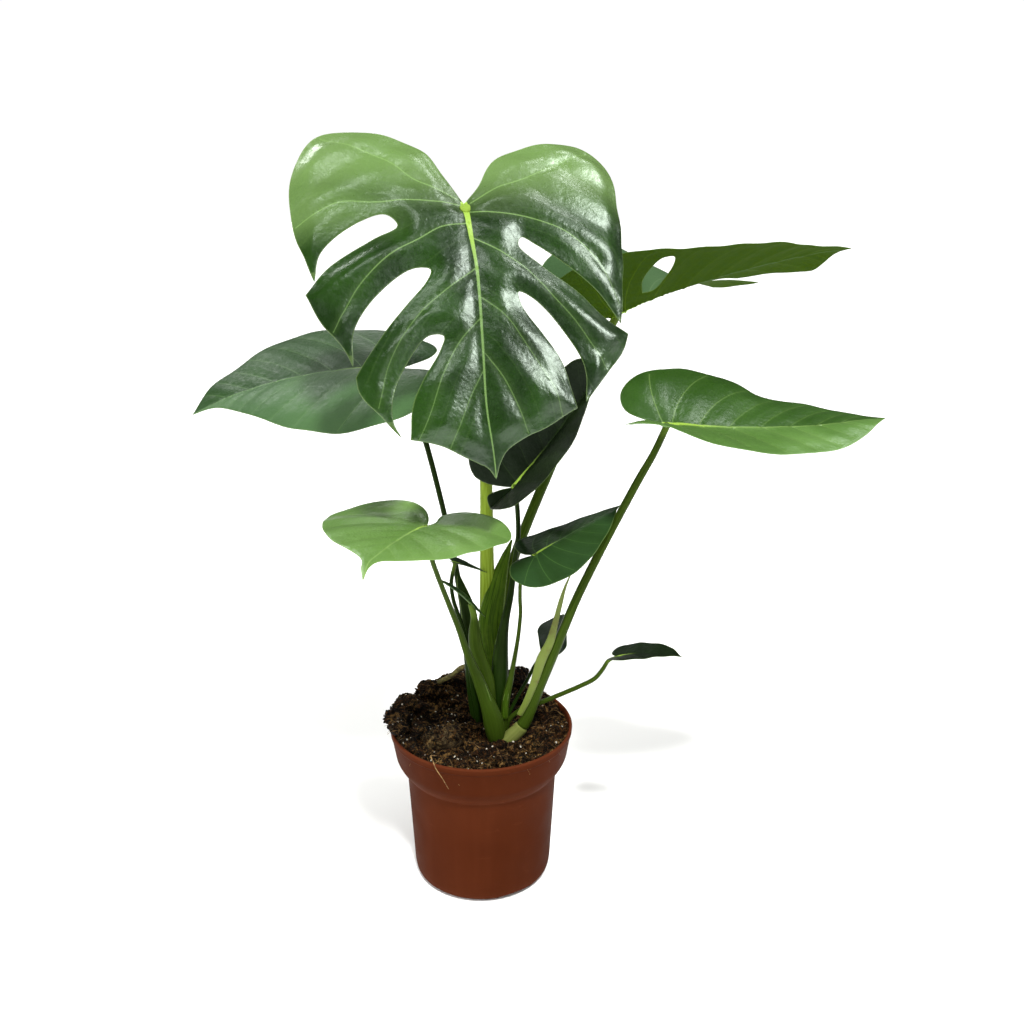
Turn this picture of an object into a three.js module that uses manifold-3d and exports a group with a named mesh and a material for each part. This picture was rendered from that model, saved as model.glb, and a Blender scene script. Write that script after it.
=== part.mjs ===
// A young split-leaf monstera in a round nursery pot, built leaf by leaf.
// Millimetres, +Z up. The origin is the centre of the pot's foot, on the
// surface that the pot stands on. The plant faces -Y.
import * as THREE from 'three';
import { mergeVertices } from 'three/addons/utils/BufferGeometryUtils.js';
import Module from 'manifold-3d';

const wasm = await Module();
wasm.setup();

// ---------------------------------------------------------------- sizes

const GAP = 0.35;              // clearance between touching pieces

const POT = {
  height: 134,
  rimRadius: 75,
  collarRadius: 71.5,          // foot of the straight collar
  collarFoot: 113,             // height where the collar starts to draw in
  shoulder: 95,                // height where the body starts
  bodyRadius: 62,
  footRadius: 57.5,
  heel: 9,                     // round between wall and underside
  wall: 1.6,
  floor: 3,
  notches: 3,                  // drain notches through the heel
  notchWidth: 30,
  notchDepth: 18,
  notchHeight: 4.8,
  firstNotch: -60,             // angle of the notch at the front right
  sides: 32,
  lipWidth: 2.4,
};

const SOIL = {
  level: 124.5,                // at the crown
  bank: 4.5,                   // rise to the wall
  backHeap: 17,
  leftHeap: 7,
  brim: 66,                    // the heaps fall off from this radius on
  relief: 1.1,
  rings: [15, 30, 44, 57, 67, 75],
};

// Clods that stand out of the soil: place, half sizes, how far the middle
// stands over the soil, and turn.
const CLODS = [
  { at: [-31, -26], size: [15, 10, 8], lift: 0, turn: 25 },
  { at: [20, -54], size: [9, 7, 4], lift: 1, turn: 10 },
  { at: [46, -32], size: [10, 8, 4], lift: 0, turn: 120 },
  { at: [40, 38], size: [12, 10, 6], lift: 1, turn: 80 },
  { at: [30, 58], size: [12, 9, 8], lift: 3, turn: 150 },
  { at: [6, 62], size: [11, 8, 6], lift: 2, turn: 20 },
  { at: [-24, 56], size: [13, 9, 6], lift: 1, turn: 15 },
  { at: [-45, 40], size: [13, 11, 7], lift: 2, turn: 60 },
  { at: [-62, 18], size: [12, 12, 6], lift: 3, turn: 100 },
  { at: [-70, 0], size: [10, 10, 5], lift: 5, turn: 40 },
  { at: [-68, -15], size: [9, 9, 5], lift: 4, turn: 5 },
  { at: [-50, -12], size: [11, 9, 6], lift: 1, turn: 130 },
];

// Colours and finishes.
const FINISH = {
  pot: { color: 0x74402c, roughness: 0.55 },
  soil: { color: 0x2b1d14, roughness: 1 },
  root: { color: 0x6b6134, roughness: 0.7 },
  crown: { color: 0x93a95f, roughness: 0.5 },
  stalk: { color: 0x4a6a24, roughness: 0.42 },
  darkStalk: { color: 0x2c4a1a, roughness: 0.42 },
  paleSheath: { color: 0xb4bd68, roughness: 0.6 },
  glossLeaf: { color: 0x2f5d29, roughness: 0.3 },
  freshLeaf: { color: 0x6c9a4c, roughness: 0.4 },
  oliveLeaf: { color: 0x4d6a26, roughness: 0.45 },
  shadeLeaf: { color: 0x2b472b, roughness: 0.42 },
};

const BLADE_THICKNESS = 0.8;
const RIB_REACH = 0.94;        // the midrib fades out here on its way to the tip
const LIFT_REACH = 0.45;       // share of a blade, from its stalk, that lift bends
const MANY_ROWS = 9;           // a route with more rows needs none between them

// Each blade is laid out flat first: x runs along the midrib from the stalk
// to the tip, y across it, + on the left of that direction. outline holds
// strokes that meet at corners, and a smooth curve runs through the points
// of each stroke. The flat blade is then bent: heading and pitch aim the
// midrib and roll turns the blade round it, arch bends the midrib down by
// that angle from stalk to tip, backDroop bends the lobes behind the stalk,
// fold lifts each half [left, right] from the midrib, foldTurn adds to that
// towards the tip and lift adds to it near the stalk, curl bends each half
// back down to its edge, and twist turns the section towards the tip. Angles
// are in degrees.
const LEAVES = {
  main_leaf: {
    at: [-6, -50, 545], heading: -80, pitch: -54, roll: -2,
    length: 188, halfWidth: 112, arch: 18, backDroop: 0,
    fold: [8, 8], foldTurn: [0, 0], curl: [25, 25], twist: 0,
    waves: { count: 6, height: 0.8 }, grid: 13, step: 6, finish: 'glossLeaf',
    outline: [
      [[0, 0], [-12, 10], [-32, 22], [-45, 48], [-50, 86], [-36, 107], [-6, 111],
        [37, 109], [71, 104], [84, 102]],
      [[84, 102], [64, 86], [47, 67], [31, 45], [26, 36], [33, 33], [48, 48],
        [65, 72], [82, 91], [91, 107]],
      [[91, 107], [106, 100], [117, 90], [128, 81], [139, 71]],
      [[139, 71], [124, 72], [107, 68], [85, 53], [69, 37], [66, 30], [74, 31],
        [94, 44], [120, 58], [144, 64]],
      [[144, 64], [157, 40], [162, 29], [170, 16], [178, 11], [188, 8]],
      [[188, 8], [181, 3], [173, -12], [167, -24], [162, -45]],
      [[162, -45], [144, -43], [124, -35], [105, -23], [96, -20], [96, -30],
        [111, -43], [131, -54], [151, -55], [160, -51]],
      [[160, -51], [150, -60], [132, -75], [122, -77]],
      [[122, -77], [108, -69], [93, -58], [75, -42], [59, -29], [50, -26], [50, -38],
        [71, -65], [92, -77], [114, -79]],
      [[114, -79], [104, -83], [85, -97], [64, -107]],
      [[64, -107], [48, -93], [29, -62], [19, -45], [11, -54], [20, -78], [37, -96],
        [55, -101]],
      [[55, -101], [40, -106], [22, -112], [-8, -115], [-34, -110], [-51, -97],
        [-55, -76], [-50, -50], [-38, -24], [-20, -12], [0, 0]],
    ],
  },
  back_right_leaf: {
    at: [106, 71, 457], heading: 2, pitch: 25, roll: -30,
    length: 190, halfWidth: 80, arch: 20, backDroop: 4,
    fold: [45, 15], foldTurn: [-55, -25], lift: [37, 0], curl: [6, 6], twist: 0,
    waves: { count: 6, height: 0.3 }, grid: 13, step: 8, finish: 'oliveLeaf',
    outline: [
      [[0, 0], [-16, 8], [-38, 22], [-47, 44], [-36, 66], [-14, 78], [12, 82], [40, 82],
        [76, 73]],
      [[76, 73], [70, 60], [65, 48], [63, 37], [70, 36], [78, 50], [90, 69]],
      [[90, 69], [101, 65], [113, 57], [124, 48]],
      [[124, 48], [110, 41], [95, 34], [84, 24], [92, 22], [104, 30]],
      [[104, 30], [120, 29], [134, 26], [150, 28], [163, 27], [171, 16], [178, 4],
        [190, -5]],
      [[190, -5], [178, -15], [164, -22], [150, -31], [138, -41], [115, -48],
        [82, -56], [60, -63], [42, -71], [14, -77], [-14, -76], [-36, -64],
        [-46, -44], [-38, -22], [-16, -8], [0, 0]],
    ],
    hole: [[27, -15], [29, -31], [37, -45], [47, -55], [55, -54], [54, -42], [46, -26], [36, -14]],
  },
  left_leaf: {
    at: [-60, 30, 423], heading: 183, pitch: 1, roll: -4,
    length: 168, halfWidth: 86, arch: 26, backDroop: 7,
    fold: [8, 13], foldTurn: [0, 0], curl: [45, 14], twist: -18,
    waves: { count: 3, height: 0.7 }, grid: 12, step: 8, finish: 'shadeLeaf',
    outline: [
      [[0, 0], [-12, 8], [-24, 22], [-28, 44], [-20, 68], [-4, 81], [20, 86], [48, 84],
        [76, 72], [104, 51], [131, 24], [150, 8], [168, 2]],
      [[168, 2], [152, -20], [134, -33], [112, -52], [84, -73], [52, -84], [20, -87],
        [-4, -80], [-20, -66], [-27, -42], [-22, -20], [-10, -8], [0, 0]],
    ],
  },
  right_leaf: {
    at: [136, -22, 390], heading: -2, pitch: -7, roll: 7,
    length: 162, halfWidth: 66, arch: -16, backDroop: -42,
    fold: [30, 18], foldTurn: [-30, -42], curl: [5, 5], twist: 0,
    waves: { count: 3, height: 0.4 }, grid: 13, step: 8, finish: 'freshLeaf',
    outline: [
      [[0, 0], [-14, 4], [-25, 14], [-26, 31], [-16, 47], [2, 58], [22, 66], [45, 66],
        [62, 61], [76, 50], [94, 44], [114, 42], [134, 31], [150, 19], [163, 12]],
      [[163, 12], [147, -7], [128, -22], [107, -31], [86, -38], [60, -45], [38, -51],
        [14, -54], [-12, -51], [-25, -41], [-24, -19], [-13, -5], [0, 0]],
    ],
  },
  front_left_leaf: {
    at: [-32, -96, 336], heading: -112, pitch: 6, roll: 0,
    length: 90, halfWidth: 66, arch: 21, backDroop: 20,
    fold: [0, 4], foldTurn: [0, 0], curl: [10, 10], twist: 0,
    waves: { count: 3, height: 0.4 }, grid: 11, step: 7, finish: 'freshLeaf',
    outline: [
      [[0, 0], [-8, 2], [-20, 1], [-28, 10], [-30, 26], [-26, 44], [-11, 57], [11, 57],
        [28, 51], [47, 41], [58, 29], [65, 12], [70, 1], [78, -1], [91, 2]],
      [[91, 2], [80, -5], [72, -9], [66, -16], [58, -33], [42, -54], [19, -70],
        [-6, -77], [-24, -66], [-32, -46], [-32, -28], [-26, -15], [-14, -6], [0, 0]],
    ],
  },
  shaded_leaf: {
    at: [26, -6, 337], heading: 3, pitch: 49, roll: 28,
    length: 126, halfWidth: 62, arch: -15, backDroop: 24,
    fold: [45, 38], foldTurn: [0, 0], curl: [10, 22], twist: 15,
    waves: { count: 3, height: 0.5 }, grid: 12, step: 7, finish: 'shadeLeaf',
    outline: [
      [[0, 0], [-7, 8], [-14, 17], [-18, 27], [-15, 36], [-6, 44], [12, 49], [40, 46],
        [66, 36], [90, 26], [106, 20], [114, 12], [126, 0]],
      [[126, 0], [106, -3], [92, -14], [80, -29], [64, -41], [46, -48], [20, -51],
        [-2, -48], [-15, -36], [-22, -20], [-24, -2], [-20, 8], [-10, 6], [0, 0]],
    ],
  },
  middle_leaf: {
    at: [41, -35, 293], heading: 24, pitch: 18, roll: 10,
    length: 80, halfWidth: 36, arch: -6, backDroop: 10,
    fold: [-16, -16], foldTurn: [0, 0], curl: [0, 0], twist: -5,
    waves: { count: 3, height: 0.3 }, grid: 10, step: 6, finish: 'shadeLeaf',
    outline: [
      [[0, 0], [-4, 9], [-4, 22], [0, 36], [9, 42], [22, 39], [42, 31], [62, 22],
        [74, 12], [81, 6]],
      [[81, 6], [66, -8], [48, -20], [22, -31], [-4, -31], [-18, -24], [-24, -12],
        [-20, -2], [-10, 3], [0, 0]],
    ],
  },
  small_back_leaf: {
    at: [50, 30, 180], heading: 56, pitch: 38, roll: -10,
    length: 44, halfWidth: 20, arch: 8, backDroop: 0,
    fold: [6, 6], foldTurn: [0, 0], curl: [4, 4], twist: 0,
    waves: { count: 3, height: 0.3 }, grid: 8, step: 5, finish: 'shadeLeaf',
    outline: [
      [[0, 0], [8, 6], [15, 11], [24, 17], [34, 12], [44, 1]],
      [[44, 1], [36, -6], [24, -14], [11, -21], [2, -17], [0, 0]],
    ],
  },
  small_right_leaf: {
    at: [110, 0, 193], heading: -16, pitch: 20, roll: -9,
    length: 54, halfWidth: 20, arch: 22, backDroop: 0,
    fold: [15, 6], foldTurn: [0, 0], curl: [4, 4], twist: 6,
    waves: { count: 3, height: 0.3 }, grid: 8, step: 5, finish: 'shadeLeaf',
    outline: [
      [[0, 0], [-5, 6], [-3, 15], [10, 18], [28, 15], [42, 10], [54, -3]],
      [[54, -3], [40, -9], [24, -19], [8, -19], [-4, -12], [-5, -4], [0, 0]],
    ],
  },
  small_left_leaf: {
    at: [-22, 15, 269], heading: 4, pitch: -18, roll: 6,
    length: 28, halfWidth: 7, arch: 4, backDroop: 0,
    fold: [20, 20], foldTurn: [0, 0], curl: [0, 0], twist: 0,
    waves: { count: 2, height: 0.1 }, grid: 6, step: 4, finish: 'shadeLeaf',
    outline: [
      [[0, 0], [-4, 3], [0, 6], [8, 5], [18, 2.5], [29, 0]],
      [[29, 0], [18, -2.5], [8, -5], [0, -6], [-4, -3], [0, 0]],
    ],
  },
  new_leaf: {
    at: [-5, -1, 236.5], heading: 178, pitch: 50, roll: 0,
    length: 38, halfWidth: 6, arch: 22, backDroop: 12,
    fold: [24, 24], foldTurn: [0, 0], curl: [0, 0], twist: 0,
    waves: { count: 2, height: 0.1 }, grid: 6, step: 5, finish: 'shadeLeaf',
    outline: [
      [[-12, 0], [-5, 2.4], [4, 3.6], [16, 3.8], [28, 2.6], [39, 0]],
      [[39, 0], [28, -2.6], [16, -3.8], [4, -3.6], [-5, -2.4], [-12, 0]],
    ],
  },
};

// Each stalk is a run of rows [x, y, z, half width, half depth], from its
// foot in the crown up to its blade. Its sheath, where it shows, is a second
// run that ends in a point and is joined to the stalk. Front stalks come
// first: each one is cut clear of those before it.
const STALKS = {
  front_left_leaf: {
    finish: 'stalk',
    stalk: [
      [13.5, -9, 112, 4, 4], [13, -10, 120, 6, 5], [12, -11.5, 129, 7.8, 6],
      [10.5, -12.5, 139, 8.4, 6], [7, -14, 154, 6.9, 5.2], [3.3, -15, 165, 5.6, 4.4],
      [-1.8, -18, 182, 4.6, 3.8], [-7, -22, 198, 3.6, 3.2], [-10.3, -26, 210, 2.9, 2.8],
      [-15, -34, 231, 2.4, 2.4], [-20.3, -44, 252, 2.1, 2.1], [-25.8, -58, 276, 1.9, 1.9],
      [-31, -74, 302, 1.8, 1.8], [-33, -87, 321, 1.7, 1.7],
    ],
    sheath: [[9, -15, 142, 4.4, 3], [6, -16.5, 160, 3.4, 2.4], [2.5, -18, 176, 2, 1.5],
      [0, -19, 187, 0.5, 0.5]],
  },
  right_leaf: {
    finish: 'stalk',
    stalk: [
      [34, -10, 136, 5.4, 5], [37.5, -10, 143, 4.9, 4.7], [43.2, -10.4, 158, 4.3, 4.3],
      [48.4, -11, 173, 4, 4], [56.2, -12, 195, 4, 4], [68, -14.5, 229, 3.7, 3.7],
      [75.7, -14, 249, 3.5, 3.5], [91.2, -12, 283, 3.4, 3.4], [102.3, -11, 306, 3.2, 3.2],
      [121.5, -14, 347, 3, 3], [130.3, -18, 366, 2.7, 2.7],
    ],
  },
  middle_leaf: {
    finish: 'stalk',
    stalk: [
      [18, -4, 112, 3, 3], [18.8, -5, 134, 3, 2.8], [19.6, -6, 152, 3.5, 3],
      [21.2, -6.5, 163, 3.2, 2.8], [23.7, -7, 174, 2.6, 2.4], [25.8, -7.5, 186, 2, 2],
      [28.5, -8, 202, 1.7, 1.7], [30.8, -10, 220, 1.6, 1.6], [32, -14, 238, 1.5, 1.5],
      [31.5, -19, 252, 1.5, 1.5], [32.6, -26, 271, 1.5, 1.5],
    ],
    sheath: [[19, -8.5, 142, 3, 1.8], [20, -8.5, 158, 2.2, 1.4], [23, -8.5, 176, 0.4, 0.4]],
  },
  new_leaf: {
    finish: 'stalk',
    stalk: [
      [8, -3, 112, 4.2, 3.6], [8, -2.5, 140, 4.6, 3.6], [5.5, -2, 172, 5.4, 3.6],
      [0, -2, 191, 5.6, 3.4], [-3.6, -2, 203, 5.8, 3.2], [-4.8, -2, 217, 4.5, 2.8],
      [-5, -1.5, 228, 2.8, 2],
    ],
  },
  shaded_leaf: {
    finish: 'darkStalk',
    stalk: [
      [14, 1, 112, 5, 4.4], [14, 2, 130, 6, 5], [15, 2, 153, 7, 5.2],
      [15.4, 2, 180, 6.9, 5], [17.5, 2, 207, 4.8, 4], [20, 1, 225, 3.4, 3.2],
      [24, 4, 244, 2.7, 2.6], [27, 7, 268, 2.1, 2.1], [30, 8, 292, 1.9, 1.9],
      [29.5, 2, 317, 1.9, 1.9],
    ],
    sheath: [[12, 0, 186, 3.2, 2.4], [13.5, 0, 204, 2, 1.6], [16, 0, 220, 0.5, 0.5]],
  },
  back_right_leaf: {
    finish: 'stalk',
    stalk: [
      [13, 8, 112, 4.4, 3.6], [13, 12, 150, 5, 4], [14, 17, 195, 5, 4.2],
      [19, 23, 236, 4.2, 4], [26, 28, 264, 4, 4], [38, 35, 296, 4.2, 4.2],
      [56, 45, 338, 4.1, 4.1], [78, 58, 388, 3.8, 3.8], [96, 67, 432, 3.4, 3.4],
    ],
    sheath: [
      [13, 8, 114, 4.6, 3.8], [12, 12, 160, 7, 4.4], [10, 14, 190, 8.8, 4.4],
      [8.2, 17, 216, 10.4, 4.2], [13.5, 21, 246, 7.6, 3.6], [19, 25, 266, 4.2, 2.6],
      [25, 27, 283, 0.8, 0.8],
    ],
  },
  main_leaf: {
    finish: 'stalk',
    stalk: [
      [8, 15, 114, 4.6, 4.2], [6, 19, 145, 5.6, 5], [4, 24, 185, 6.4, 5.6],
      [5, 25, 229, 6.4, 5.8], [5, 22, 278, 5.6, 5.4], [5, 19, 328, 5, 5],
      [4, 15, 380, 4.6, 4.6], [1, -8, 443, 4.1, 4.1], [-2, -31, 502, 3.7, 3.7],
    ],
  },
  left_leaf: {
    finish: 'darkStalk',
    stalk: [
      [-2, 17, 114, 4, 4], [-5.2, 19, 132, 5, 4.6], [-7.1, 21, 152, 5.5, 4.8],
      [-9.7, 22, 184, 5.4, 4.6], [-12.7, 24, 216, 4.6, 4], [-15.5, 25.5, 232, 3.4, 3.2],
      [-18.5, 26, 247, 2.7, 2.6], [-21.1, 27, 264, 2.3, 2.3], [-24.1, 27, 279, 2.2, 2.2],
      [-30, 30, 308, 2.2, 2.2], [-43, 33, 363, 2.2, 2.2], [-55, 33, 402, 2, 2],
    ],
    sheath: [
      [-9.5, 20.5, 190, 4.4, 3], [-10.5, 21, 214, 5.4, 2.8], [-11.6, 21, 228, 5.7, 2.4],
      [-14.3, 22, 238, 4.6, 2.2], [-17, 23.5, 248, 2.6, 1.6], [-19, 24.5, 257, 0.5, 0.5],
    ],
  },
  small_left_leaf: {
    finish: 'darkStalk',
    stalk: [
      [-2, 13, 114, 2.6, 2.6], [-3.5, 13, 135, 2.5, 2.5], [-6.4, 13, 155, 2.5, 2.5],
      [-10.5, 13, 188, 2.1, 2.1], [-14.7, 13, 212, 1.8, 1.8], [-19.4, 13, 227, 1.7, 1.7],
      [-22.5, 14, 238, 1.6, 1.6], [-23.6, 14.5, 252, 1.6, 1.6],
    ],
  },
  small_back_leaf: {
    finish: 'darkStalk',
    stalk: [
      [19, 8, 116, 2, 2], [22, 8, 134, 1.6, 1.6], [28.3, 12, 147, 1.5, 1.5],
      [39.5, 20, 165, 1.5, 1.5], [45, 25, 174, 1.5, 1.5],
    ],
  },
  small_right_leaf: {
    finish: 'stalk',
    stalk: [
      [21, 1, 116, 2.2, 2.2], [22, 1, 133, 2, 2], [31.9, 3, 142.5, 2, 2],
      [50, 4.5, 149.5, 2, 2], [81, 6, 163, 1.9, 1.9], [93, 4, 171, 1.8, 1.8],
      [99, 2, 180, 1.7, 1.7], [104, 1, 189, 1.6, 1.6],
    ],
  },
};

// The dry pale margin of the right leaf's sheath stands beside its stalk.
const DRY_SHEATH = [
  [31.5, -12.4, 147, 2.4, 1.2], [37.8, -13, 161, 2.8, 1.4], [43.2, -14.2, 177, 3.2, 1.4],
  [48.8, -15.5, 198, 4, 1.4], [55.2, -16.5, 213, 3.4, 1.3], [59.2, -17.5, 230, 2.4, 1.1],
  [63.4, -18, 249, 1.8, 0.9], [66.4, -18, 260, 1.1, 0.7], [71.4, -18, 273, 0.4, 0.4],
];

// A thick aerial root leaves the crown at the back left and dives into the soil.
const AERIAL_ROOT = [
  [-9, 29, 160, 2, 2], [-12, 32, 168, 2.2, 2.2], [-18.2, 36, 165, 2.1, 2.1],
  [-27, 39, 156, 2, 2], [-36, 41, 150, 1.9, 1.9], [-45, 41, 143, 1.8, 1.8],
  [-50, 40, 130, 1.5, 1.5],
];

// The crown is the short thick stem in the soil. A pale knuckle of it turns
// up to the front right and ends in the node that carries the right leaf.
const CROWN = [
  [12, 4, 96, 6, 6], [12, 4, 106, 12, 14], [12, 4, 118, 12, 15], [13, 2, 125, 6, 8],
];
const KNUCKLE = [
  [13, -6, 106, 7, 6], [19, -10, 119, 6.8, 6], [26, -11, 127.5, 6.4, 5.6],
  [30.6, -10.6, 132, 6, 5.4], [32.8, -10.3, 134.6, 6.6, 6],
];

// ---------------------------------------------------------------- solids

const radians = THREE.MathUtils.degToRad;

function geometryFrom(points, faces) {
  const geometry = new THREE.BufferGeometry();
  geometry.setAttribute('position', new THREE.Float32BufferAttribute(points.flat(), 3));
  geometry.setIndex(faces.flat());
  return geometry;
}

function manifoldFrom(geometry) {
  const bare = geometry.clone();
  bare.deleteAttribute('normal');
  bare.deleteAttribute('uv');
  const welded = mergeVertices(bare, 1e-4);
  return new wasm.Manifold(new wasm.Mesh({
    numProp: 3,
    vertProperties: new Float32Array(welded.attributes.position.array),
    triVerts: new Uint32Array(welded.index.array),
  }));
}

// The largest body of a cut solid, as a geometry. Loose scraps are dropped.
function geometryOf(manifold) {
  const bodies = manifold.decompose();
  bodies.sort((a, b) => b.volume() - a.volume());
  const mesh = bodies[0].getMesh();
  const geometry = new THREE.BufferGeometry();
  geometry.setAttribute('position', new THREE.BufferAttribute(new Float32Array(mesh.vertProperties), 3));
  geometry.setIndex(new THREE.BufferAttribute(new Uint32Array(mesh.triVerts), 1));
  return geometry;
}

// A smooth solid stalk through rows of [x, y, z, half width, half depth].
// The width lies across the view from the front, and grow widens it.
function sweep(rows, { sides = 8, steps = 1, grow = 0 } = {}) {
  const curve = new THREE.CatmullRomCurve3(rows.map(([x, y, z]) => new THREE.Vector3(x, y, z)),
    false, 'centripetal');
  const count = (rows.length - 1) * steps;
  const points = [];
  const faces = [];
  for (let i = 0; i <= count; i++) {
    const row = Math.min(Math.floor(i / steps), rows.length - 2);
    const blend = i / steps - row;
    const halfWidth = THREE.MathUtils.lerp(rows[row][3], rows[row + 1][3], blend) + grow;
    const halfDepth = THREE.MathUtils.lerp(rows[row][4], rows[row + 1][4], blend) + grow;
    const along = curve.getTangent(i / count);
    const centre = curve.getPoint(i / count);
    if (i === 0) centre.addScaledVector(along, -grow);
    if (i === count) centre.addScaledVector(along, grow);
    const side = new THREE.Vector3(along.z, 0, -along.x).normalize();
    const depth = new THREE.Vector3().crossVectors(along, side);
    for (let k = 0; k < sides; k++) {
      const angle = 2 * Math.PI * (k + 0.5) / sides;
      points.push(centre.clone()
        .addScaledVector(side, halfWidth * Math.cos(angle))
        .addScaledVector(depth, halfDepth * Math.sin(angle)).toArray());
    }
    if (i === 0) continue;
    for (let k = 0; k < sides; k++) {
      const a = (i - 1) * sides + k;
      const b = (i - 1) * sides + (k + 1) % sides;
      faces.push([a, b, b + sides], [a, b + sides, a + sides]);
    }
  }
  for (let k = 1; k < sides - 1; k++) {
    faces.push([0, k + 1, k], [count * sides, count * sides + k, count * sides + k + 1]);
  }
  return manifoldFrom(geometryFrom(points, faces));
}

// ---------------------------------------------------------------- blades

// Where the flat point (x, y) of a blade lies once the blade is bent.
function bladePoint(leaf, x, y) {
  const reach = x / leaf.length;
  const backSpan = 0.28 * leaf.length;
  const bend = x >= 0 ? -radians(leaf.arch) / leaf.length : radians(leaf.backDroop) / backSpan;
  const turn = bend * x;
  const spineX = Math.abs(bend) < 1e-9 ? x : Math.sin(turn) / bend;
  const spineZ = Math.abs(bend) < 1e-9 ? 0 : (1 - Math.cos(turn)) / bend;

  const half = y >= 0 ? 0 : 1;
  const near = THREE.MathUtils.clamp(reach, -0.3, 1);
  const lift = leaf.lift?.[half] ?? 0;
  const raised = lift * (1 - THREE.MathUtils.smoothstep(reach, 0, LIFT_REACH));
  const fold = radians(leaf.fold[half] + leaf.foldTurn[half] * near + raised);
  const curl = radians(leaf.curl[half]) / leaf.halfWidth;
  const out = Math.abs(y);
  let across = out * Math.cos(fold);
  let rise = out * Math.sin(fold);
  if (curl > 1e-9) {
    across = (Math.sin(fold) - Math.sin(fold - curl * out)) / curl;
    rise = (Math.cos(fold - curl * out) - Math.cos(fold)) / curl;
  }
  const { count, height } = leaf.waves;
  const spread = Math.min(1, out / (0.4 * leaf.halfWidth));
  rise -= height * spread * Math.cos(2 * Math.PI * count * (x - 0.5 * out) / leaf.length);
  across *= Math.sign(y);

  const twist = radians(leaf.twist) * near;
  const sectionY = across * Math.cos(twist) - rise * Math.sin(twist);
  const sectionZ = across * Math.sin(twist) + rise * Math.cos(twist);
  const local = new THREE.Vector3(
    spineX - Math.sin(turn) * sectionZ,
    sectionY,
    spineZ + Math.cos(turn) * sectionZ,
  );
  return local.applyMatrix4(bladeFrame(leaf));
}

// The frame of a blade at its stalk: x along the midrib, z out of its face.
function bladeFrame(leaf) {
  const heading = radians(leaf.heading);
  const pitch = radians(leaf.pitch);
  const roll = radians(leaf.roll);
  const x = new THREE.Vector3(Math.cos(heading) * Math.cos(pitch),
    Math.sin(heading) * Math.cos(pitch), Math.sin(pitch));
  const level = new THREE.Vector3(-Math.sin(heading), Math.cos(heading), 0);
  const up = new THREE.Vector3().crossVectors(x, level);
  const y = level.multiplyScalar(Math.cos(roll)).addScaledVector(up, Math.sin(roll));
  const z = new THREE.Vector3().crossVectors(x, y);
  return new THREE.Matrix4().makeBasis(x, y, z).setPosition(...leaf.at);
}

function bladeNormal(leaf, x, y) {
  const reach = 0.5;
  const along = bladePoint(leaf, x + reach, y).sub(bladePoint(leaf, x - reach, y));
  const across = bladePoint(leaf, x, y + reach).sub(bladePoint(leaf, x, y - reach));
  return along.cross(across).normalize();
}

// Points spaced evenly on smooth curves through a blade's strokes.
function drawOutline(strokes, spacing) {
  const outline = [];
  for (const stroke of strokes) {
    const curve = new THREE.CatmullRomCurve3(stroke.map(([x, y]) => new THREE.Vector3(x, y, 0)),
      false, 'centripetal');
    curve.arcLengthDivisions = 400;
    const count = Math.max(1, Math.round(curve.getLength() / spacing));
    for (let i = 0; i < count; i++) {
      const point = curve.getPointAt(i / count);
      outline.push([point.x, point.y]);
    }
  }
  return outline;
}

function isInside([x, y], outline) {
  let inside = false;
  for (let i = 0, j = outline.length - 1; i < outline.length; j = i++) {
    const [xi, yi] = outline[i];
    const [xj, yj] = outline[j];
    if ((yi > y) !== (yj > y) && x < (xj - xi) * (y - yi) / (yj - yi) + xi) inside = !inside;
  }
  return inside;
}

function edgeDistance([x, y], outline) {
  let nearest = Infinity;
  for (let i = 0; i < outline.length; i++) {
    const [ax, ay] = outline[i];
    const [bx, by] = outline[(i + 1) % outline.length];
    const t = THREE.MathUtils.clamp(((x - ax) * (bx - ax) + (y - ay) * (by - ay))
      / ((bx - ax) ** 2 + (by - ay) ** 2), 0, 1);
    nearest = Math.min(nearest, Math.hypot(x - ax - t * (bx - ax), y - ay - t * (by - ay)));
  }
  return nearest;
}

// Delaunay triangles of flat points, added one at a time.
function triangulate(points) {
  const far = 1e4;
  const all = [...points, [-far, -far], [far, -far], [0, far]];
  const first = points.length;
  let triangles = [[first, first + 1, first + 2]];
  const reaches = ([a, b, c], [px, py]) => {
    const [ax, ay] = [all[a][0] - px, all[a][1] - py];
    const [bx, by] = [all[b][0] - px, all[b][1] - py];
    const [cx, cy] = [all[c][0] - px, all[c][1] - py];
    return (ax * ax + ay * ay) * (bx * cy - cx * by)
      - (bx * bx + by * by) * (ax * cy - cx * ay)
      + (cx * cx + cy * cy) * (ax * by - bx * ay) > 1e-9;
  };
  points.forEach((point, index) => {
    const rim = new Map();
    const kept = [];
    for (const triangle of triangles) {
      if (!reaches(triangle, point)) {
        kept.push(triangle);
        continue;
      }
      for (let k = 0; k < 3; k++) {
        const edge = [triangle[k], triangle[(k + 1) % 3]];
        if (!rim.delete(`${edge[1]},${edge[0]}`)) rim.set(`${edge[0]},${edge[1]}`, edge);
      }
    }
    for (const [a, b] of rim.values()) kept.push([a, b, index]);
    triangles = kept;
  });
  return triangles.filter((triangle) => Math.max(...triangle) < first);
}

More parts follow.
